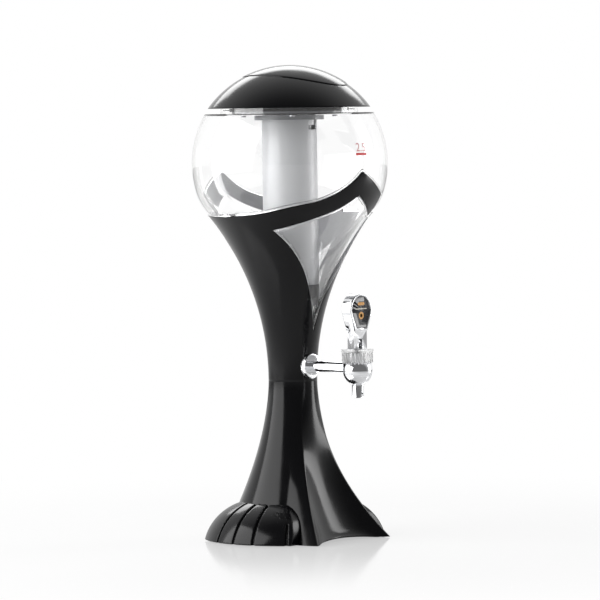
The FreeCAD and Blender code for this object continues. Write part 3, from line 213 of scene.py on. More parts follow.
def smooth(thing: Object, degrees: float = 32.0) -> None:
    """Shade smoothly, except over edges sharper than an angle."""
    only(thing)
    bpy.ops.object.shade_smooth_by_angle(angle=math.radians(degrees))


def round_edges(thing: Object, radius: float) -> None:
    """Round an object's sharp edges, by a radius in millimetres."""
    modify(
        thing, "BEVEL", width=radius * MM, segments=2, limit_method="ANGLE",
        angle_limit=math.radians(SHARP_EDGE), use_clamp_overlap=True, harden_normals=False)


def arc(centre: Sequence[float], radius: float, start: float, end: float, steps: int) -> Profile:
    """Points along an arc.

    Args:
        centre: Middle of the arc, in millimetres.
        radius: Radius in millimetres.
        start: Angle of the first point in radians.
        end: Angle of the last point in radians.
        steps: Steps from the first point to the last.

    Returns:
        The points in order, both ends included.
    """
    angles = [start + (end - start) * step / steps for step in range(steps + 1)]
    return [(centre[0] + radius * math.cos(a), centre[1] + radius * math.sin(a)) for a in angles]


def flowing(points: Profile, per_leg: int = 14) -> Profile:
    """A smooth run through a few points.

    Args:
        points: Points to pass through.
        per_leg: Steps between one point and the next.

    Returns:
        Points along the run, both ends included.
    """
    spots = [Vector(point) for point in points]
    gaps = [(b - a).length for a, b in zip(spots, spots[1:])]
    slopes = [(b - a) / gap for a, b, gap in zip(spots, spots[1:], gaps)]
    inner = [(slopes[i] * gaps[i + 1] + slopes[i + 1] * gaps[i]) / (gaps[i] + gaps[i + 1])
             for i in range(len(gaps) - 1)]
    first = slopes[0] * 1.5 - inner[0] * 0.5
    last = slopes[-1] * 1.5 - inner[-1] * 0.5
    ways = [first, *inner, last]
    run = []
    for i, gap in enumerate(gaps):
        for step in range(per_leg):
            t = step / per_leg
            run.append(
                spots[i] * (2 * t**3 - 3 * t**2 + 1) + ways[i] * gap * (t**3 - 2 * t**2 + t)
                + spots[i + 1] * (3 * t**2 - 2 * t**3) + ways[i + 1] * gap * (t**3 - t**2)
            )
    run.append(spots[-1])
    return [(p.x, p.y) for p in run]


# Finishes


def linear(code: str) -> tuple[float, float, float, float]:
    """Turn an sRGB hex value such as "1A1B1C" into linear red, green, blue and alpha."""
    parts = [int(code[i:i + 2], 16) / 255 for i in (0, 2, 4)]
    return (*[p / 12.92 if p <= 0.04045 else ((p + 0.055) / 1.055) ** 2.4 for p in parts], 1.0)


def add_node(tree: bpy.types.NodeTree, kind: str, inputs: dict[Any, Any] | None = None,
             **settings: Any) -> bpy.types.Node:
    """Add a shader node.

    Args:
        tree: The node tree to add to.
        kind: Its type, without the ShaderNode that all of them start with.
        inputs: Input name or number to a value, or to the socket linked into it.
        **settings: The node's own settings.

    Returns:
        The new node.
    """
    made = tree.nodes.new(f"ShaderNode{kind}")
    for key, value in settings.items():
        setattr(made, key, value)
    for key, value in (inputs or {}).items():
        if isinstance(value, bpy.types.NodeSocket):
            tree.links.new(value, made.inputs[key])
        else:
            made.inputs[key].default_value = value
    return made


def empty_material(name: str) -> tuple[Material, bpy.types.NodeTree]:
    """A node material with nothing in it."""
    material = bpy.data.materials.new(name)
    material.use_nodes = True
    material.node_tree.nodes.clear()
    return material, material.node_tree


def seen_directly(tree: bpy.types.NodeTree) -> bpy.types.NodeSocket:
    """A socket that is 1 on rays from the camera, also after clear pieces."""
    rays = add_node(tree, "LightPath")
    seen = add_node(tree, "Math", {
        0: rays.outputs["Is Camera Ray"], 1: rays.outputs["Is Transmission Ray"]},
        operation="MAXIMUM")
    return seen.outputs["Value"]


def noise(tree: bpy.types.NodeTree, place: bpy.types.NodeSocket, size_mm: float,
          detail: float) -> bpy.types.NodeSocket:
    """A noise from 0 to 1 whose features are some millimetres across."""
    return add_node(tree, "TexNoise", {
        "Vector": place, "Scale": 1.0 / (size_mm * MM), "Detail": detail}).outputs["Fac"]


@dataclass(frozen=True)
class MouldedFinish:
    """Opaque moulded plastic or rubber: faint waviness, a fine grain and uneven gloss."""

    name: str
    colour: str
    roughness: float
    spread: float = 0.03
    specular: float = 0.5
    wave_mm: float = 22.0
    wave_depth: float = 0.06
    grain_mm: float = 0.9
    grain_depth: float = 0.02
    tint: float = 0.06
    # A colour painted on faces that look at the axis: a painted reflection, not a colour of the
    # plastic
    inside: str = ""

    def build(self) -> Material:
        """Make the material, with a painted reflection in another colour on faces that look at the
        tower's axis, where one is given.
        """
        material, tree = empty_material(self.name)
        place = add_node(tree, "TexCoord").outputs["Object"]
        wave = noise(tree, place, self.wave_mm, 2.0)
        grain = noise(tree, place, self.grain_mm, 3.0)
        gloss = add_node(tree, "MapRange", {
            "Value": wave, "From Min": 0.3, "From Max": 0.7,
            "To Min": self.roughness - self.spread, "To Max": self.roughness + self.spread})
        base = linear(self.colour)
        light = tuple(min(1.0, part * (1 + self.tint)) for part in base[:3]) + (1.0,)
        dark = tuple(part * (1 - self.tint) for part in base[:3]) + (1.0,)
        colour = add_node(tree, "Mix", {
            "Factor": grain, "A": dark, "B": light}, data_type="RGBA")
        # Painted reflection: faces that look at the axis get a flat pale colour in place of the
        # light they would mirror
        if self.inside:
            level = add_node(tree, "VectorMath", {0: place, 1: (1, 1, 0)},
                             operation="MULTIPLY")
            normal = add_node(tree, "NewGeometry").outputs["Normal"]
            outward = add_node(tree, "VectorMath", {
                0: level.outputs["Vector"], 1: normal}, operation="DOT_PRODUCT")
            inner = add_node(tree, "Math", {0: outward.outputs["Value"],
                             1: -INWARD_REACH}, operation="LESS_THAN")
            colour = add_node(tree, "Mix", {
                "Factor": inner.outputs["Value"], "A": colour.outputs["Result"],
                "B": linear(self.inside)}, data_type="RGBA")
        slow = add_node(tree, "Bump", {
            "Height": wave, "Strength": self.wave_depth, "Distance": 0.001})
        fine = add_node(tree, "Bump", {
            "Height": grain, "Strength": self.grain_depth, "Distance": 0.0001,
            "Normal": slow.outputs["Normal"]})
        shader = add_node(tree, "BsdfPrincipled", {
            "Base Color": colour.outputs["Result"], "Roughness": gloss.outputs["Result"],
            "Specular IOR Level": self.specular, "Normal": fine.outputs["Normal"]})
        add_node(tree, "OutputMaterial", {"Surface": shader.outputs["BSDF"]})
        return material


@dataclass(frozen=True)
class ClearFinish:
    """Clear moulded plastic, polished on both sides, with a breath of flow lines."""

    name: str
    colour: str
    roughness: float
    ior: float
    wave_mm: float = 30.0
    wave_depth: float = 0.01
    specular: float = 0.5

    def build(self) -> Material:
        """Make the material, which lets lamps through so that its inside is lit."""
        material, tree = empty_material(self.name)
        place = add_node(tree, "TexCoord").outputs["Object"]
        wave = noise(tree, place, self.wave_mm, 1.0)
        bump = add_node(tree, "Bump", {
            "Height": wave, "Strength": self.wave_depth, "Distance": 0.001})
        shader = add_node(tree, "BsdfPrincipled", {
            "Base Color": linear(self.colour), "Roughness": self.roughness, "IOR": self.ior,
            "Transmission Weight": 1.0, "Specular IOR Level": self.specular,
            "Normal": bump.outputs["Normal"]})
        clear = add_node(tree, "BsdfTransparent", {"Color": linear(self.colour)})
        rays = add_node(tree, "LightPath")
        mix = add_node(tree, "MixShader", {
            0: rays.outputs["Is Shadow Ray"], 1: shader.outputs["BSDF"], 2: clear.outputs["BSDF"]})
        add_node(tree, "OutputMaterial", {"Surface": mix.outputs["Shader"]})
        return material


@dataclass(frozen=True)
class MetalFinish:
    """Bare or plated metal, with turning or brushing lines where it has them."""

    name: str
    colour: str
    roughness: float
    spread: float = 0.02
    line_mm: float = 0.6
    line_depth: float = 0.0
    stretch: tuple[float, float, float] = (1.0, 1.0, 1.0)

    def build(self) -> Material:
        """Make the material."""
        material, tree = empty_material(self.name)
        place = add_node(tree, "TexCoord").outputs["Object"]
        lines = add_node(tree, "Mapping", {"Vector": place, "Scale": self.stretch})
        swing = noise(tree, lines.outputs["Vector"], self.line_mm, 3.0)
        gloss = add_node(tree, "MapRange", {
            "Value": swing, "From Min": 0.3, "From Max": 0.7,
            "To Min": max(0.01, self.roughness - self.spread),
            "To Max": self.roughness + self.spread})
        bump = add_node(tree, "Bump", {
            "Height": swing, "Strength": self.line_depth, "Distance": 0.0001})
        shader = add_node(tree, "BsdfPrincipled", {
            "Base Color": linear(self.colour), "Metallic": 1.0,
            "Roughness": gloss.outputs["Result"], "Normal": bump.outputs["Normal"]})
        add_node(tree, "OutputMaterial", {"Surface": shader.outputs["BSDF"]})
        return material


class Finishes:
    """Every finish on the tower, each made once."""

    def __init__(self) -> None:
        """Make the materials."""
        # Injection-moulded ABS with a polished tool: deep black with soft reflections
        self.gloss_black = MouldedFinish("moulded_black_abs", "08080A", 0.15, specular=0.24).build()
        # The upper shell is the same outside, with a pale grey painted on the faces that look at
        # the tank: a painted reflection of the tank's bright inside, not a colour of the plastic
        self.black_with_painted_inner_reflection = MouldedFinish("lined_black_abs", "08080A", 0.15, specular=0.24,
                                         inside="8E8F92").build()
        # The same plastic from a plain tool, where nobody looks
        self.inner_black = MouldedFinish("plain_black_abs", "121213", 0.42,
                                         grain_depth=0.15).build()
        # Clear styrene copolymer: a polished ball that bends what is behind it
        self.clear_shell = ClearFinish("clear_polished_san", "FFFFFF", 0.0, 1.50,
                                       specular=0.15).build()
        # Milky polypropylene tube: soft, pale and without sharp reflections
        self.frosted_tube = MouldedFinish("frosted_pale_tube", "A9AAAC", 0.38, wave_mm=40,
                                          grain_depth=0.05, tint=0.02).build()
        self.pale_grey = MouldedFinish("moulded_grey_abs", "626467", 0.3, tint=0.03).build()
        # Tinted clear nut: frosted by its many ribs
        self.smoke_grey = ClearFinish("smoke_clear_nut", "EAEAEA", 0.34, 1.40).build()
        # Bright chromium over moulded plastic: a mirror with hardly any texture
        self.chrome = MetalFinish("bright_chrome_plate", "F1F2F4", 0.035, spread=0.015,
                                  line_mm=8.0).build()
        self.steel = MetalFinish("turned_steel", "A4A5A7", 0.28, spread=0.08, line_mm=0.5,
                                 line_depth=0.3, stretch=(0.2, 0.2, 1.0)).build()
        self.rubber = MouldedFinish("black_rubber", "161617", 0.7, grain_mm=0.5,
                                    grain_depth=0.3).build()
        self.badge = MouldedFinish("printed_charcoal_badge", "2B2C30", 0.14, specular=0.5,
                                   wave_depth=0.0, grain_depth=0.0, tint=0.1).build()
        self.amber_print = MouldedFinish("amber_print", "D99A3C", 0.3, tint=0.1).build()
        self.pale_print = MouldedFinish("pale_print", "D9D4C6", 0.3, tint=0.03).build()
        self.red_print = MouldedFinish("red_screen_print", "D93B3E", 0.4, tint=0.05).build()
        self.faint_print = MouldedFinish("faint_screen_print", "DB8A8A", 0.4, tint=0.03).build()


def settle(thing: Object, body: Body, slot: str, finish: Material, *nodes: str) -> Object:
    """Give a finished piece its finish and body.

    Args:
        thing: The piece, in its place.
        body: The body that it moves with.
        slot: Not used.
        finish: Its material.
        *nodes: Frame nodes that it stands for.

    Returns:
        The piece.
    """
    thing.data.materials.clear()
    thing.data.materials.append(finish)
    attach(thing, body.value)
    if nodes:
        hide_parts(*nodes)
    LOG.info("%s: %d faces on %s", thing.name, len(thing.data.polygons), body.value)
    return thing


# The tower's pieces


@dataclass(frozen=True)
class TowerLine:
    """The line that the neck, the flare and the ball follow, in millimetres."""

    neck: float = 25.6
    flare_height: float = 168.0
    flare: float = 272.0
    shoulder: float = 60.0
    ball: float = 105.0
    ball_height: float = 394.0
    flare_steps: int = 36
    shoulder_steps: int = 10
    ball_steps: int = 40

    def middles(self) -> tuple[Vector, Vector, Vector]:
        """Middles of the flare, the shoulder and the ball, as (radius, height)."""
        flare = Vector((self.neck + self.flare, self.flare_height))
        ball = Vector((0.0, self.ball_height))
        near = self.ball - self.shoulder
        far = self.flare + self.shoulder
        way = flare - ball
        span = way.length
        along = (near**2 - far**2 + span**2) / (2 * span)
        aside = math.sqrt(near**2 - along**2)
        way.normalize()
        across = Vector((-way.y, way.x))
        return flare, ball + way * along + across * aside, ball

    def upwards(self, depth: float, top: float, fine: int = 1) -> Profile:
        """Points from the neck up to a height on the ball.

        Args:
            depth: How far inside the outer surface the line runs.
            top: Height of its last point.
            fine: Multiplier for the number of points.

        Returns:
            Points as (radius, height).
        """
        flare, shoulder, ball = self.middles()
        low = math.atan2(shoulder.y - flare.y, shoulder.x - flare.x)
        start = math.atan2(flare.y - shoulder.y, flare.x - shoulder.x)
        end = math.atan2(shoulder.y - ball.y, shoulder.x - ball.x)
        reach = self.ball - depth
        last = math.asin((top - self.ball_height) / reach)
        run = arc(flare, self.flare + depth, math.pi, low, self.flare_steps * fine)
        run += arc(shoulder, self.shoulder - depth, start, end, self.shoulder_steps * fine)[1:]
        run += arc(ball, reach, end, last, self.ball_steps * fine)[1:]
        return run


@dataclass
class UpperShell:
    """The black shell whose two arms wind round the ball, with the clear ledge on them.

    The edges are those of one half, across and up from the ball's middle. The other
    half is the same, turned by half a turn.
    """

    finishes: Finishes
    line: TowerLine = TowerLine()
    seam: float = 165.6
    wall: float = 2.0
    edge: float = 0.4
    floor_hole: float = 12.2
    steps: int = 192
    reach: float = 116.0
    above: float = 10.0
    overlap: float = 0.03
    left_level: float = -54.0
    right_level: float = -54.4
    half_width: float = 90.0
    line_above: float = 12.0
    bead: float = 1.4
    bead_sink: float = 1.1
    bead_step: float = 1.6
    bead_sides: int = 10
    crown: Profile = field(default_factory=lambda: [
        (-88.5, -54), (-70, -44), (-49, -38.2), (-22, -23.5), (-4.1, -9)])
    arm_end: Profile = field(default_factory=lambda: [(40.3, -34), (32.5, -55.6)])
    under: Profile = field(default_factory=lambda: [
        (-4.7, -33.3), (-26, -47.2), (-46, -57.4), (-67.7, -68)])
    left_side: Profile = field(default_factory=lambda: [
        (-67.7, -68), (-45.9, -89), (-25.2, -116), (-9.6, -148.4), (-0.5, -177.5)])
    right_side: Profile = field(default_factory=lambda: [
        (-0.5, -177.5), (6, -146), (25, -112), (45, -87), (67, -54.4)])

    def opening(self) -> Profile:
        """The outline of all that is open in one half."""
        run = [(-self.reach, self.left_level)]
        run += flowing(self.crown)
        run += self.arm_end
        run += flowing(self.under)
        run += flowing(self.left_side)[1:]
        run += flowing(self.right_side)[1:]
        run += [(self.reach, self.right_level), (self.reach, self.above),
                (-self.reach, self.above)]
        return run

    def edge_run(self) -> Profile:
        """The black edge of one half, in short steps."""
        corners = [(-self.half_width, self.left_level)] + self.opening()[1:-3]
        corners += [(self.half_width, self.right_level)]
        run: Profile = []
        for start, end in zip(corners, corners[1:]):
            pieces = max(1, round(math.dist(start, end) / self.bead_step))
            run += [tuple(a + (b - a) * step / pieces for a, b in zip(start, end))
                    for step in range(pieces)]
        return run

    def bead_path(self) -> list[Vector]:
        """Middle line of the ledge, beside the black edge and half sunk, once round."""
        top = self.line.ball_height
        outer = self.line.upwards(0, top + self.line_above)
        run = self.edge_run()
        half: list[Vector] = []
        for before, here, after in zip(run, run[1:], run[2:]):
            along = Vector((after[0] - before[0], after[1] - before[1])).normalized()
            x = here[0] - along.y * self.bead
            height = top + here[1] + along.x * self.bead
            low, high = next(((a, b) for a, b in zip(outer, outer[1:]) if b[1] >= height),
                             outer[-2:])
            radius = low[0] + (high[0] - low[0]) * (height - low[1]) / (high[1] - low[1])
            radius -= self.bead * self.bead_sink
            x = max(-radius, min(radius, x))
            half.append(Vector((x, -math.sqrt(max(0.0, radius**2 - x * x)), height)))
        return half + [Vector((-p.x, -p.y, p.z)) for p in half]

    def ledge(self) -> Object:
        """Run the clear bead that frames the black edges on the tank."""
        path = self.bead_path()
        turns = [math.tau * step / self.bead_sides for step in range(self.bead_sides)]
        rings = []
        for index, place in enumerate(path):
            along = (path[(index + 1) % len(path)] - path[index - 1]).normalized()
            side = along.cross(Vector((place.x, place.y, 0)).normalized()).normalized()
            out = side.cross(along)
            rings.append([place + (side * math.cos(a) + out * math.sin(a)) * self.bead
                          for a in turns])
        bead = skinned("tank_ledge", rings + rings[:1], True)
        smooth(bead, 80)
        return settle(bead, Body.TOWER, "clear_shell", self.finishes.clear_shell)

    def build(self) -> Object:
        """Model the shell and round its cut edges."""
        top = self.line.ball_height
        profile = [(self.floor_hole, self.seam), (self.line.neck, self.seam)]
        profile += self.line.upwards(0, top)
        profile += self.line.upwards(self.wall, top)[::-1]
        profile += [(self.floor_hole, self.line.flare_height)]
        shell = turned("upper_shell_form", profile, self.steps)
        for side in (1, -1):
            outline = [Vector((x * side, side * self.overlap, top + z)) for x, z in self.opening()]
            trim(shell, raised("arm_opening", outline, Vector((0, -side * self.reach, 0))))
        round_edges(shell, self.edge)
        smooth(shell)
        # Its faces towards the tank carry a painted pale reflection
        return settle(shell, Body.TOWER, "gloss_black", self.finishes.black_with_painted_inner_reflection, "upper_shell")


@dataclass
class Tank:
    """The clear ball tank with its mouth, and the level mark printed on it."""

    finishes: Finishes
    line: TowerLine = TowerLine()
    depth: float = 2.4
    wall: float = 2.5
    floor: float = 4.2
    shelf: float = 446.0
    mouth: float = 72.0
    mouth_top: float = 455.0
    lip_edge: float = 0.6
    fine: int = 2
    steps: int = 224
    mark_height: float = 403.0
    mark_width: float = 16.0
    mark_half: float = 1.3
    mark_aside: float = -3.8
    bar_proud: float = 0.05
    bar_ink: float = 0.08
    number: str = "2.5"
    number_size: float = 12.5
    number_rise: float = 2.8
    number_proud: float = 0.2

    def build(self) -> Object:
        """Model the tank as one clear wall."""
        roof = self.shelf - self.wall
        bore = self.mouth - self.wall
        foot = self.line.flare_height
        profile = [(0, foot)]
        profile += self.line.upwards(self.depth, self.shelf, self.fine)
        soft = self.lip_edge
        profile += [(self.mouth, self.shelf), (self.mouth, self.mouth_top - soft),
                    (self.mouth - soft, self.mouth_top), (bore + soft, self.mouth_top),
                    (bore, self.mouth_top - soft), (bore, roof)]
        inside = self.line.upwards(self.depth + self.wall, roof, self.fine)
        profile += [point for point in inside[::-1] if point[1] > foot + self.floor]
        profile += [(0, foot + self.floor)]
        tank = turned("tank_ball", profile, self.steps)
        smooth(tank)
        return settle(tank, Body.TOWER, "clear_shell", self.finishes.clear_shell, "tank")

    def on_ball(self, across: float, up: float, proud: float) -> Vector:
        """A place on the ball's front, by its distance across and up from the level mark."""
        reach = self.line.ball - self.depth + proud
        height = self.mark_height + up
        ring = math.sqrt(reach**2 - (height - self.line.ball_height) ** 2)
        turn = (across + self.mark_aside) / ring
        return Vector((ring * math.sin(turn), -ring * math.cos(turn), height))

    def mark(self) -> None:
        """Print the level bar and its plain number on the ball."""
        across = [self.mark_width * (step / 16 - 0.5) for step in range(17)]
        up = [self.mark_half * share for share in (-1, -0.5, 0, 0.5, 1)]
        rows = [[self.on_ball(x, z, self.bar_proud) for x in across] for z in up]
        bar = skinned("level_bar", rows, False)
        modify(bar, "SOLIDIFY", thickness=self.bar_ink * MM, offset=1.0)
        smooth(bar)
        settle(bar, Body.TOWER, "clear_shell", self.finishes.red_print)
        bpy.ops.object.select_all(action="DESELECT")
        bpy.ops.object.text_add()
        words = bpy.context.object
        words.data.body = self.number
        words.data.size = self.number_size * MM
        words.data.align_x = "CENTER"
        only(words)
        bpy.ops.object.convert(target="MESH")
        number = bpy.context.object
        number.name = "level_number"
        modify(number, "TRIANGULATE")
        modify(number, "SUBSURF", subdivision_type="SIMPLE", levels=2)
        for vertex in number.data.vertices:
            flat = vertex.co / MM
            vertex.co = self.on_ball(flat.x, flat.y + self.number_rise, self.number_proud) * MM
        close_up(number)
        settle(number, Body.TOWER, "clear_shell", self.finishes.faint_print)


@dataclass
class BaseShell:
    """The flared black base with its two front fins."""

    finishes: Finishes
    low: float = 0.8
    seam: float = 165.6
    neck: float = 25.6
    skirt: float = 77.0
    fin: float = 102.4
    front: float = 66.0
    skirt_fall: float = 1.72
    fin_fall: float = 2.12
    front_fall: float = 2.3
    fin_angle: float = 35.0
    crease_angle: float = 56.0
    back_angle: float = 118.0
    least_fin: float = 0.998
    panel_hollow: float = 0.025
    arch: float = 4.0
    arch_share: float = 0.86
    arch_start: float = 45.0
    arch_fade: float = 3.0
    wall: float = 2.0
    rows: int = 64
    row_bias: float = 1.25
    wide_steps: int = 56
    panel_steps: int = 24
    soft_passes: int = 3
    soft_reach: int = 2

    def reaches(self, height: float) -> tuple[float, float, float]:
        """How far the round part, the fins and the front reach at a height."""
        share = max(0.0, 1 - height / self.seam)
        skirt = self.neck + (self.skirt - self.neck) * share**self.skirt_fall
        fin = self.neck + (self.fin - self.neck) * share**self.fin_fall
        front = self.neck + (self.front - self.neck) * share**self.front_fall
        return skirt, max(skirt * self.least_fin, fin), min(front, skirt)

    def ring(self, height: float) -> list[Vector]:
        """The base's outline at a height, with its ridges and creases softened."""
        skirt, fin, front = self.reaches(height)
        tip = math.radians(self.fin_angle)
        crease = math.radians(self.crease_angle)
        panel = (skirt + fin) / 2 - self.panel_hollow * (fin - skirt)
        between = (tip + crease) / 2
        back = math.radians(self.back_angle)
        wide, narrow = self.wide_steps, self.panel_steps

        def spot(radius: float, angle: float) -> Vector:
            """A place by its distance from the axis and its angle from the front."""
            return Vector((radius * math.sin(angle), -radius * math.cos(angle)))

        legs = [
            (spot(fin, -tip), spot(front, 0), spot(fin, tip), wide),
            (spot(fin, tip), spot(panel, between), spot(skirt, crease), narrow),
            (spot(skirt, crease), spot(skirt, back), spot(skirt, math.pi), wide),
            (spot(skirt, math.pi), spot(skirt, -back), spot(skirt, -crease), wide),
            (spot(skirt, -crease), spot(panel, -between), spot(fin, -tip), narrow),
        ]
        run: list[Vector] = []
        corners = []
        for start, middle, end, steps in legs:
            corners.append(len(run))
            run += bent(start, middle, end, steps)[:-1]
        for _ in range(self.soft_passes):
            soft = list(run)
            for corner in (corners[0], corners[1], corners[2], corners[4]):
                for near in range(corner - self.soft_reach, corner + self.soft_reach + 1):
                    ahead = run[(near + 1) % len(run)]
                    behind = run[near - 1]
                    soft[near % len(run)] = run[near % len(run)] * 0.5 + (ahead + behind) * 0.25
            run = soft
        return [Vector((p.x, p.y, height)) for p in run]

    def foot_height(self, place: Vector) -> float:
        """Height of the lower edge, which arches up under the front panel."""
        half = self.fin * math.sin(math.radians(self.fin_angle)) * self.arch_share
        if place.y > -self.arch_start or abs(place.x) > half:
            return self.low
        return self.low + self.arch * (1 - (place.x / half) ** 2)

    def build(self) -> Object:
        """Model the base as a skin with a wall."""
        rings = []
        for row in range(self.rows + 1):
            share = (row / self.rows) ** self.row_bias
            height = self.low + (self.seam - self.low) * share
            lift = (1 - min(1.0, (height - self.low) / (self.arch * self.arch_fade))) ** 2
            rings.append([Vector((p.x, p.y, height + (self.foot_height(p) - self.low) * lift))
                          for p in self.ring(height)])
        base = skinned("lower_shell_form", rings, True)
        modify(base, "SOLIDIFY", thickness=self.wall * MM, offset=-1.0, use_even_offset=False)
        for vertex in base.data.vertices:
            vertex.co.z = max(vertex.co.z, self.low * MM)
        smooth(base, 50)
        return settle(base, Body.TOWER, "gloss_black", self.finishes.gloss_black, "lower_shell")


def bent(start: Vector, middle: Vector, end: Vector, steps: int) -> list[Vector]:
    """Points along the arc through three flat places, both ends included."""
    first = middle - start
    last = end - start
    twice = 2 * (first.x * last.y - first.y * last.x)
    if abs(twice) < 1e-6:
        return [start.lerp(end, step / steps) for step in range(steps + 1)]
    aside = (last.y * first.length_squared - first.y * last.length_squared) / twice
    along = (first.x * last.length_squared - last.x * first.length_squared) / twice
    centre = start + Vector((aside, along))
    radius = (start - centre).length
    angles = [math.atan2(p.y - centre.y, p.x - centre.x) for p in (start, middle, end)]
    sweep = (angles[2] - angles[0]) % math.tau
    if twice <= 0:
        sweep -= math.tau
    turns = [angles[0] + sweep * step / steps for step in range(steps + 1)]
    return [centre + Vector((math.cos(a), math.sin(a))) * radius for a in turns]


@dataclass
class Paws:
    """The rounded covers with toes at both sides of the base."""

    finishes: Finishes
    cell: float = 0.75
    passes: int = 9

    def build(self) -> None:
        """Soften a copy of each cover, as a moulded piece is soft at every edge."""
        for side in ("left", "right"):
            node = f"paw_cover_{side}"
            paw = copy_of_node(f"paw_{side}_form", node)
            modify(paw, "REMESH", mode="VOXEL", voxel_size=self.cell * MM, use_smooth_shade=True)
            modify(paw, "SMOOTH", factor=0.5, iterations=self.passes)
            smooth(paw, 80)
            settle(paw, Body.TOWER, "gloss_black", self.finishes.gloss_black, node)


@dataclass
class Lid:
    """The black lid with its raised top cap."""

    finishes: Finishes
    rim: float = 85.3
    rim_height: float = 451.6
    rise: float = 43.9
    wall: float = 2.2
    web_low: float = 455.3
    web_thickness: float = 2.4
    web_bore: float = 56.5
    crest_length: float = 57.0
    crest_width: float = 46.0
    crest_shift: float = 7.0
    crest_turn: float = 12.0
    proud: float = 0.8
    sink: float = 1.2
    line_gap: float = 0.5
    rim_land: float = 0.5
    rim_lead: float = 0.006
    inner_lead: float = 0.002
    edge: float = 0.25
    cap_edge: float = 0.5
    overcut: float = 4.0
    around: int = 144
    cap_rows: int = 22
    edge_steps: int = 6
    foot_rows: int = 12

    def dome(self) -> tuple[float, float]:
        """Radius of the dome and height of its middle."""
        radius = (self.rim**2 + self.rise**2) / (2 * self.rise)
        return radius, self.rim_height + self.rise - radius

    def crest(self, name: str, grow: float, low: float, high: float, edge: float) -> Object:
        """An egg-shaped patch between two balls.

        Args:
            name: Name of the new object.
            grow: How far the outline is moved outwards.
            low: Radius of the ball under the patch.
            high: Radius of the ball over it.
            edge: Radius of its rounded upper edge.

        Returns:
            The closed patch.
        """
        middle = self.dome()[1]
        long_half = self.crest_length + grow
        short_half = self.crest_width + grow
        shares = [(step / self.cap_rows, high) for step in range(self.cap_rows - 1)]
        reach = (long_half + short_half) / 2
        for step in range(self.edge_steps + 1):
            turn = math.pi / 2 * step / self.edge_steps
            shares.append((1 - edge / reach * (1 - math.sin(turn)),
                           high - edge * (1 - math.cos(turn))))
        shares += [(1 - step / self.foot_rows, low) for step in range(self.foot_rows + 1)]
        rings = []
        for share, ball in shares:
            ring = []
            for step in range(self.around):
                turn = math.tau * step / self.around
                flat = Vector((short_half * share * math.cos(turn),
                               long_half * share * math.sin(turn) - self.crest_shift))
                flat.rotate(Matrix.Rotation(math.radians(self.crest_turn), 2))
                height = middle + math.sqrt(ball**2 - flat.length_squared)
                ring.append(Vector((flat.x, flat.y, height)))
            rings.append(ring)
        return skinned(name, rings, True)

    def build(self) -> None:
        """Model the dome with the recess for its cap, and the cap."""
        radius, middle = self.dome()
        inside = radius - self.wall
        centre = (0.0, middle)
        start = math.asin((self.rim_height - middle) / radius)
        back = math.asin((self.rim_height - middle) / inside)
        web_high = self.web_low + self.web_thickness
        top = math.asin((web_high - middle) / inside)
        low = math.asin((self.web_low - middle) / inside)
        profile = [(inside * math.cos(back), self.rim_height),
                   (self.rim - self.rim_land, self.rim_height)]
        profile += arc(centre, radius, start + self.rim_lead, math.pi / 2, 56)
        profile += arc(centre, inside, math.pi / 2, top, 40)
        profile += [(self.web_bore, web_high), (self.web_bore, self.web_low)]
        profile += arc(centre, inside, low, back + self.inner_lead, 3)
        dome = turned("lid_dome_form", profile, 192)
        floor = radius - self.sink
        trim(dome, self.crest("cap_recess", self.line_gap, floor, radius + self.overcut, 0.01))
        round_edges(dome, self.edge)
        smooth(dome)
        settle(dome, Body.LID, "gloss_black", self.finishes.gloss_black, "lid_dome")
        cap = self.crest("lid_cap_form", 0.0, floor, radius + self.proud, self.cap_edge)
        smooth(cap)
        settle(cap, Body.LID, "gloss_black", self.finishes.gloss_black, "lid_top_cap")


@dataclass
class IceTube:
    """The pale ice tube with a bent slot for each pin of its collar."""

    finishes: Finishes
    radius: float = 28.85
    wall: float = 1.5
    foot: float = 267.0
    top: float = 442.0
    slot_half: float = 2.3
    slot_height: float = 431.0
    slot_turn: float = 20.0
    edge: float = 0.2

    def slot(self, name: str, angle: float, low: float, high: float, half: float) -> Object:
        """A tool that cuts the wall over a small arc.

        Args:
            name: Name of the tool.
            angle: Its middle, in degrees from the front.
            low: Its lower end.
            high: Its upper end.
            half: Half its width.

        Returns:
            The tool.
        """
        inner = self.radius - self.wall * 3
        outer = self.radius + self.wall * 2
        tool = raised(name, [Vector((-half, -outer, low)), Vector((half, -outer, low)),
                             Vector((half, -inner, low)), Vector((-half, -inner, low))],
                      Vector((0, 0, high - low)))
        turn_about_axis(tool, angle)
        return tool

    def build(self) -> None:
        """Model the tube and cut its slots."""
        bore = self.radius - self.wall
        profile = [(bore, self.foot), (self.radius, self.foot), (self.radius, self.top),
                   (bore, self.top)]
        tube = turned("ice_tube_wall", profile, 128)
        low = self.slot_height - self.slot_half
        reach = self.radius * math.radians(self.slot_turn / 2) + self.slot_half
        for half_turn in (0.0, 180.0):
            trim(tube, self.slot("slot_level", half_turn + self.slot_turn / 2, low,
                                 self.slot_height + self.slot_half, reach))
            trim(tube, self.slot("slot_upright", half_turn + self.slot_turn, low, self.top + 1,
                                 self.slot_half))
        round_edges(tube, self.edge)
        smooth(tube)
        settle(tube, Body.ICE, "frosted_tube", self.finishes.frosted_tube, "ice_tube")


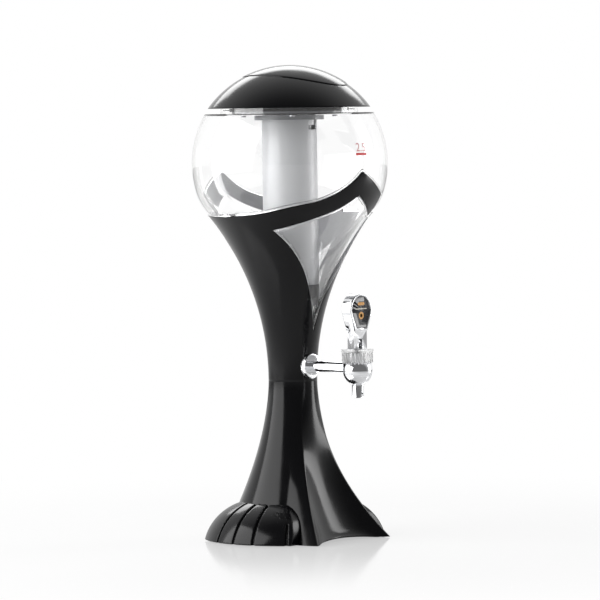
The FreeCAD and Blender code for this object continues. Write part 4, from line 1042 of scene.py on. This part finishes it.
@dataclass
class Badge:
    """The plain print on the lever's badge: a bar, a line and a ring."""

    finishes: Finishes
    reach: float = 89.6
    face: float = 5.9
    middle: float = 242.0
    ink: float = 0.08
    bar_rise: float = 6.2
    bar_half: float = 3.6
    bar_round: float = 1.6
    disc_drop: float = 6.0
    disc_radius: float = 3.9
    disc_middle: float = 1.9
    line: Profile = field(default_factory=lambda: [
        (-8.6, 0.5), (8.6, 0.5), (8.6, 1.5), (-8.6, 1.5)])

    def piece(self, name: str, outline: Profile, finish: Material) -> None:
        """Print one flat shape on the badge.

        Args:
            name: Name of the piece.
            outline: Its corners across and up from the badge's middle.
            finish: Its material.
        """
        y = -self.reach - self.face
        corners = [Vector((x, y, self.middle + z)) for x, z in outline]
        made = raised(name, corners, Vector((0, -self.ink, 0)))
        smooth(made)
        settle(made, Body.LEVER, "badge", finish)

    def build(self) -> None:
        """Print the three shapes."""
        end = arc((0, self.bar_rise), self.bar_round, math.pi / 2, -math.pi / 2, 10)
        bar = [(x + self.bar_half, z) for x, z in end]
        bar += [(-x - self.bar_half, 2 * self.bar_rise - z) for x, z in end]
        self.piece("badge_bar", bar, self.finishes.amber_print)
        self.piece("badge_line", self.line, self.finishes.pale_print)
        centre = (0, -self.disc_drop)
        outer = arc(centre, self.disc_radius, 0, math.tau, 32)[:-1]
        self.piece("badge_disc", outer, self.finishes.amber_print)
        inner = arc(centre, self.disc_middle, 0, math.tau, 24)[:-1]
        self.piece("badge_disc_middle", inner, self.finishes.badge)


@dataclass
class CarriedOver:
    """The frame's own pieces that keep their shape and get their finish."""

    finishes: Finishes

    def build(self) -> None:
        """Set each node's material slot."""
        f = self.finishes
        groups = (
            (f.inner_black, ("base_plate", "neck_coupling", "ice_tube_end_cap")),
            (f.rubber, ("rubber_feet", "tank_washer", "valve_plug", "ice_tube_seal", "lid_seal")),
            (f.pale_grey, ("lid_inner_plate", "tube_collar")),
            (f.steel, ("neck_screws", "base_screws", "lid_screws", "tank_nut", "valve_stem",
                       "lever_pin", "tap_spring")),
        )
        for finish, names in groups:
            for name in names:
                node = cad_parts[name]
                node.data.materials.clear()
                node.data.materials.append(finish)
                LOG.info("%s keeps its shape, in %s", name, finish.name)

    def smoothed(self) -> None:
        """Give the tap's pieces a finely shaded copy, because a mirror shows every facet."""
        f = self.finishes
        plated = ("tap_flange", "tap_pipe", "tap_body", "tap_spout")
        copies = {
            **{node: (Body.TOWER, "chrome", f.chrome) for node in plated},
            "tap_collar_nut": (Body.TOWER, "smoke_grey", f.smoke_grey),
            "tap_lever": (Body.LEVER, "chrome", f.chrome),
            "badge_plate": (Body.LEVER, "badge", f.badge),
        }
        for node, (body, slot, finish) in copies.items():
            piece = copy_of_node(f"{node}_form", node)
            smooth(piece, 28)
            settle(piece, body, slot, finish, node)


# Studio


@dataclass
class Studio:
    """Camera, lamps, world and floor.

    Lamp places and the floor's radius are in metres, as they are far off.
    """

    lens: float = 250.8
    distance: float = 4380.0
    eye_height: float = 455.0
    aim_height: float = 250.0
    aim_aside: float = 8.6
    roll: float = -0.81
    lamp_aim: float = 0.28
    front_level: float = 0.16
    plain_level: float = 0.4
    floor_gap: float = 0.05
    floor_radius: float = 14.0
    floor_gloss: float = 0.32
    foot_white: float = 0.75

    def towards(self) -> Vector:
        """Level direction from the tower to the camera."""
        turn = math.radians(VIEW_AZIMUTH)
        return Vector((math.sin(turn), -math.cos(turn), 0))

    def right(self) -> Vector:
        """Level direction to the picture's right."""
        way = self.towards()
        return Vector((-way.y, way.x, 0))

    def camera(self) -> None:
        """Stand the camera where the photograph was taken from."""
        data = bpy.data.cameras.new("camera")
        data.sensor_width = 36.0
        data.lens = self.lens
        data.clip_start, data.clip_end = 0.1, 60.0
        camera = bpy.data.objects.new("camera", data)
        bpy.context.collection.objects.link(camera)
        spot = self.towards() * self.distance + Vector((0, 0, self.eye_height))
        aim = self.right() * self.aim_aside + Vector((0, 0, self.aim_height))
        camera.location = spot * MM
        look = (aim - spot).to_track_quat("-Z", "Y").to_matrix().to_4x4()
        look = look @ Matrix.Rotation(math.radians(self.roll), 4, "Z")
        camera.rotation_euler = look.to_euler()
        bpy.context.scene.camera = camera

    def lamp(self, name: str, aside: float, ahead: float, height: float, size: tuple[float, float],
             power: float) -> None:
        """Hang a soft box that faces the tower.

        Args:
            name: Name of the lamp.
            aside: Distance to the picture's right, in metres.
            ahead: Distance from the tower towards the camera, in metres.
            height: Height of its middle, in metres.
            size: Its width and height, in metres.
            power: Its power in watts.
        """
        data = bpy.data.lights.new(name, "AREA")
        data.shape = "RECTANGLE"
        data.size, data.size_y = size
        data.energy = power
        lamp = bpy.data.objects.new(name, data)
        bpy.context.collection.objects.link(lamp)
        lamp.location = self.right() * aside + self.towards() * ahead + Vector((0, 0, height))
        aim = Vector((0, 0, self.lamp_aim)) - lamp.location
        lamp.rotation_euler = aim.to_track_quat("-Z", "Y").to_euler()

    def world(self) -> None:
        """A white surround that mirrors see as a studio: pale behind, greyer in front."""
        world = bpy.data.worlds.new("studio")
        bpy.context.scene.world = world
        world.use_nodes = True
        tree = world.node_tree
        tree.nodes.clear()
        rays = add_node(tree, "LightPath")
        way = add_node(tree, "TexCoord").outputs["Generated"]
        facing = add_node(tree, "VectorMath",
                          {0: way, 1: tuple(self.towards())}, operation="DOT_PRODUCT")
        mirror = add_node(tree, "MapRange", {
            "Value": facing.outputs["Value"], "From Min": -0.45, "From Max": 0.35,
            "To Min": 1.0, "To Max": self.front_level}, interpolation_type="SMOOTHSTEP")
        other = add_node(tree, "Mix", {
            "Factor": rays.outputs["Is Glossy Ray"], "A": self.plain_level,
            "B": mirror.outputs["Result"]}, data_type="FLOAT")
        strength = add_node(tree, "Mix", {
            "Factor": seen_directly(tree), "A": other.outputs["Result"], "B": 1.0},
            data_type="FLOAT")
        light = add_node(tree, "Background", {
            "Color": (1, 1, 1, 1), "Strength": strength.outputs["Result"]})
        add_node(tree, "OutputWorld", {"Surface": light.outputs["Background"]})

    def floor(self) -> None:
        """A pale glossy floor that fades to white away from the tower."""
        bpy.ops.object.select_all(action="DESELECT")
        bpy.ops.mesh.primitive_circle_add(vertices=96, radius=self.floor_radius, fill_type="NGON")
        floor = bpy.context.object
        floor.name = "studio_floor"
        floor.data.transform(Matrix.Translation((0, 0, -self.floor_gap * MM)))
        material, tree = empty_material("white_floor")
        place = add_node(tree, "TexCoord").outputs["Object"]
        away = add_node(tree, "VectorMath", {0: place}, operation="LENGTH")
        fade = add_node(tree, "MapRange", {
            "Value": away.outputs["Value"], "From Min": 0.08, "From Max": 0.52,
            "To Min": self.floor_gloss, "To Max": 0.0}, interpolation_type="SMOOTHSTEP")
        paint = add_node(tree, "BsdfDiffuse", {"Color": linear("E6E6E6")})
        white = add_node(tree, "Emission", {"Color": (1, 1, 1, 1), "Strength": 1.0})
        bare = add_node(tree, "MapRange", {
            "Value": away.outputs["Value"], "From Min": 0.15, "From Max": 0.8,
            "To Min": self.foot_white, "To Max": 1.0}, interpolation_type="SMOOTHSTEP")
        share = add_node(tree, "Math", {
            0: seen_directly(tree), 1: bare.outputs["Result"]}, operation="MULTIPLY")
        body = add_node(tree, "MixShader", {
            0: share.outputs["Value"], 1: paint.outputs["BSDF"], 2: white.outputs["Emission"]})
        gloss = add_node(tree, "BsdfGlossy", {"Color": (1, 1, 1, 1), "Roughness": 0.09})
        top = add_node(tree, "MixShader", {
            0: fade.outputs["Result"], 1: body.outputs["Shader"], 2: gloss.outputs["BSDF"]})
        add_node(tree, "OutputMaterial", {"Surface": top.outputs["Shader"]})
        floor.data.materials.append(material)

    def build(self) -> None:
        """Set the whole studio up."""
        bpy.context.scene.view_settings.view_transform = "Standard"
        self.camera()
        self.world()
        self.floor()
        self.lamp("left_box", -1.7, 0.5, 0.9, (2.2, 1.7), 46)
        self.lamp("right_box", 1.7, -0.5, 0.6, (0.5, 1.4), 12)
        self.lamp("top_box", 0.0, -2.4, 1.8, (3.0, 0.8), 30)


def main() -> None:
    """Build the studio and every piece of the tower."""
    logging.basicConfig(level=logging.INFO, format="%(name)s: %(message)s")
    Studio().build()
    finishes = Finishes()
    carried = CarriedOver(finishes)
    carried.build()
    carried.smoothed()
    tank = Tank(finishes)
    tank.build()
    tank.mark()
    shell = UpperShell(finishes)
    shell.build()
    shell.ledge()
    BaseShell(finishes).build()
    Paws(finishes).build()
    Lid(finishes).build()
    IceTube(finishes).build()
    Badge(finishes).build()


if __name__ == "__main__":
    main()
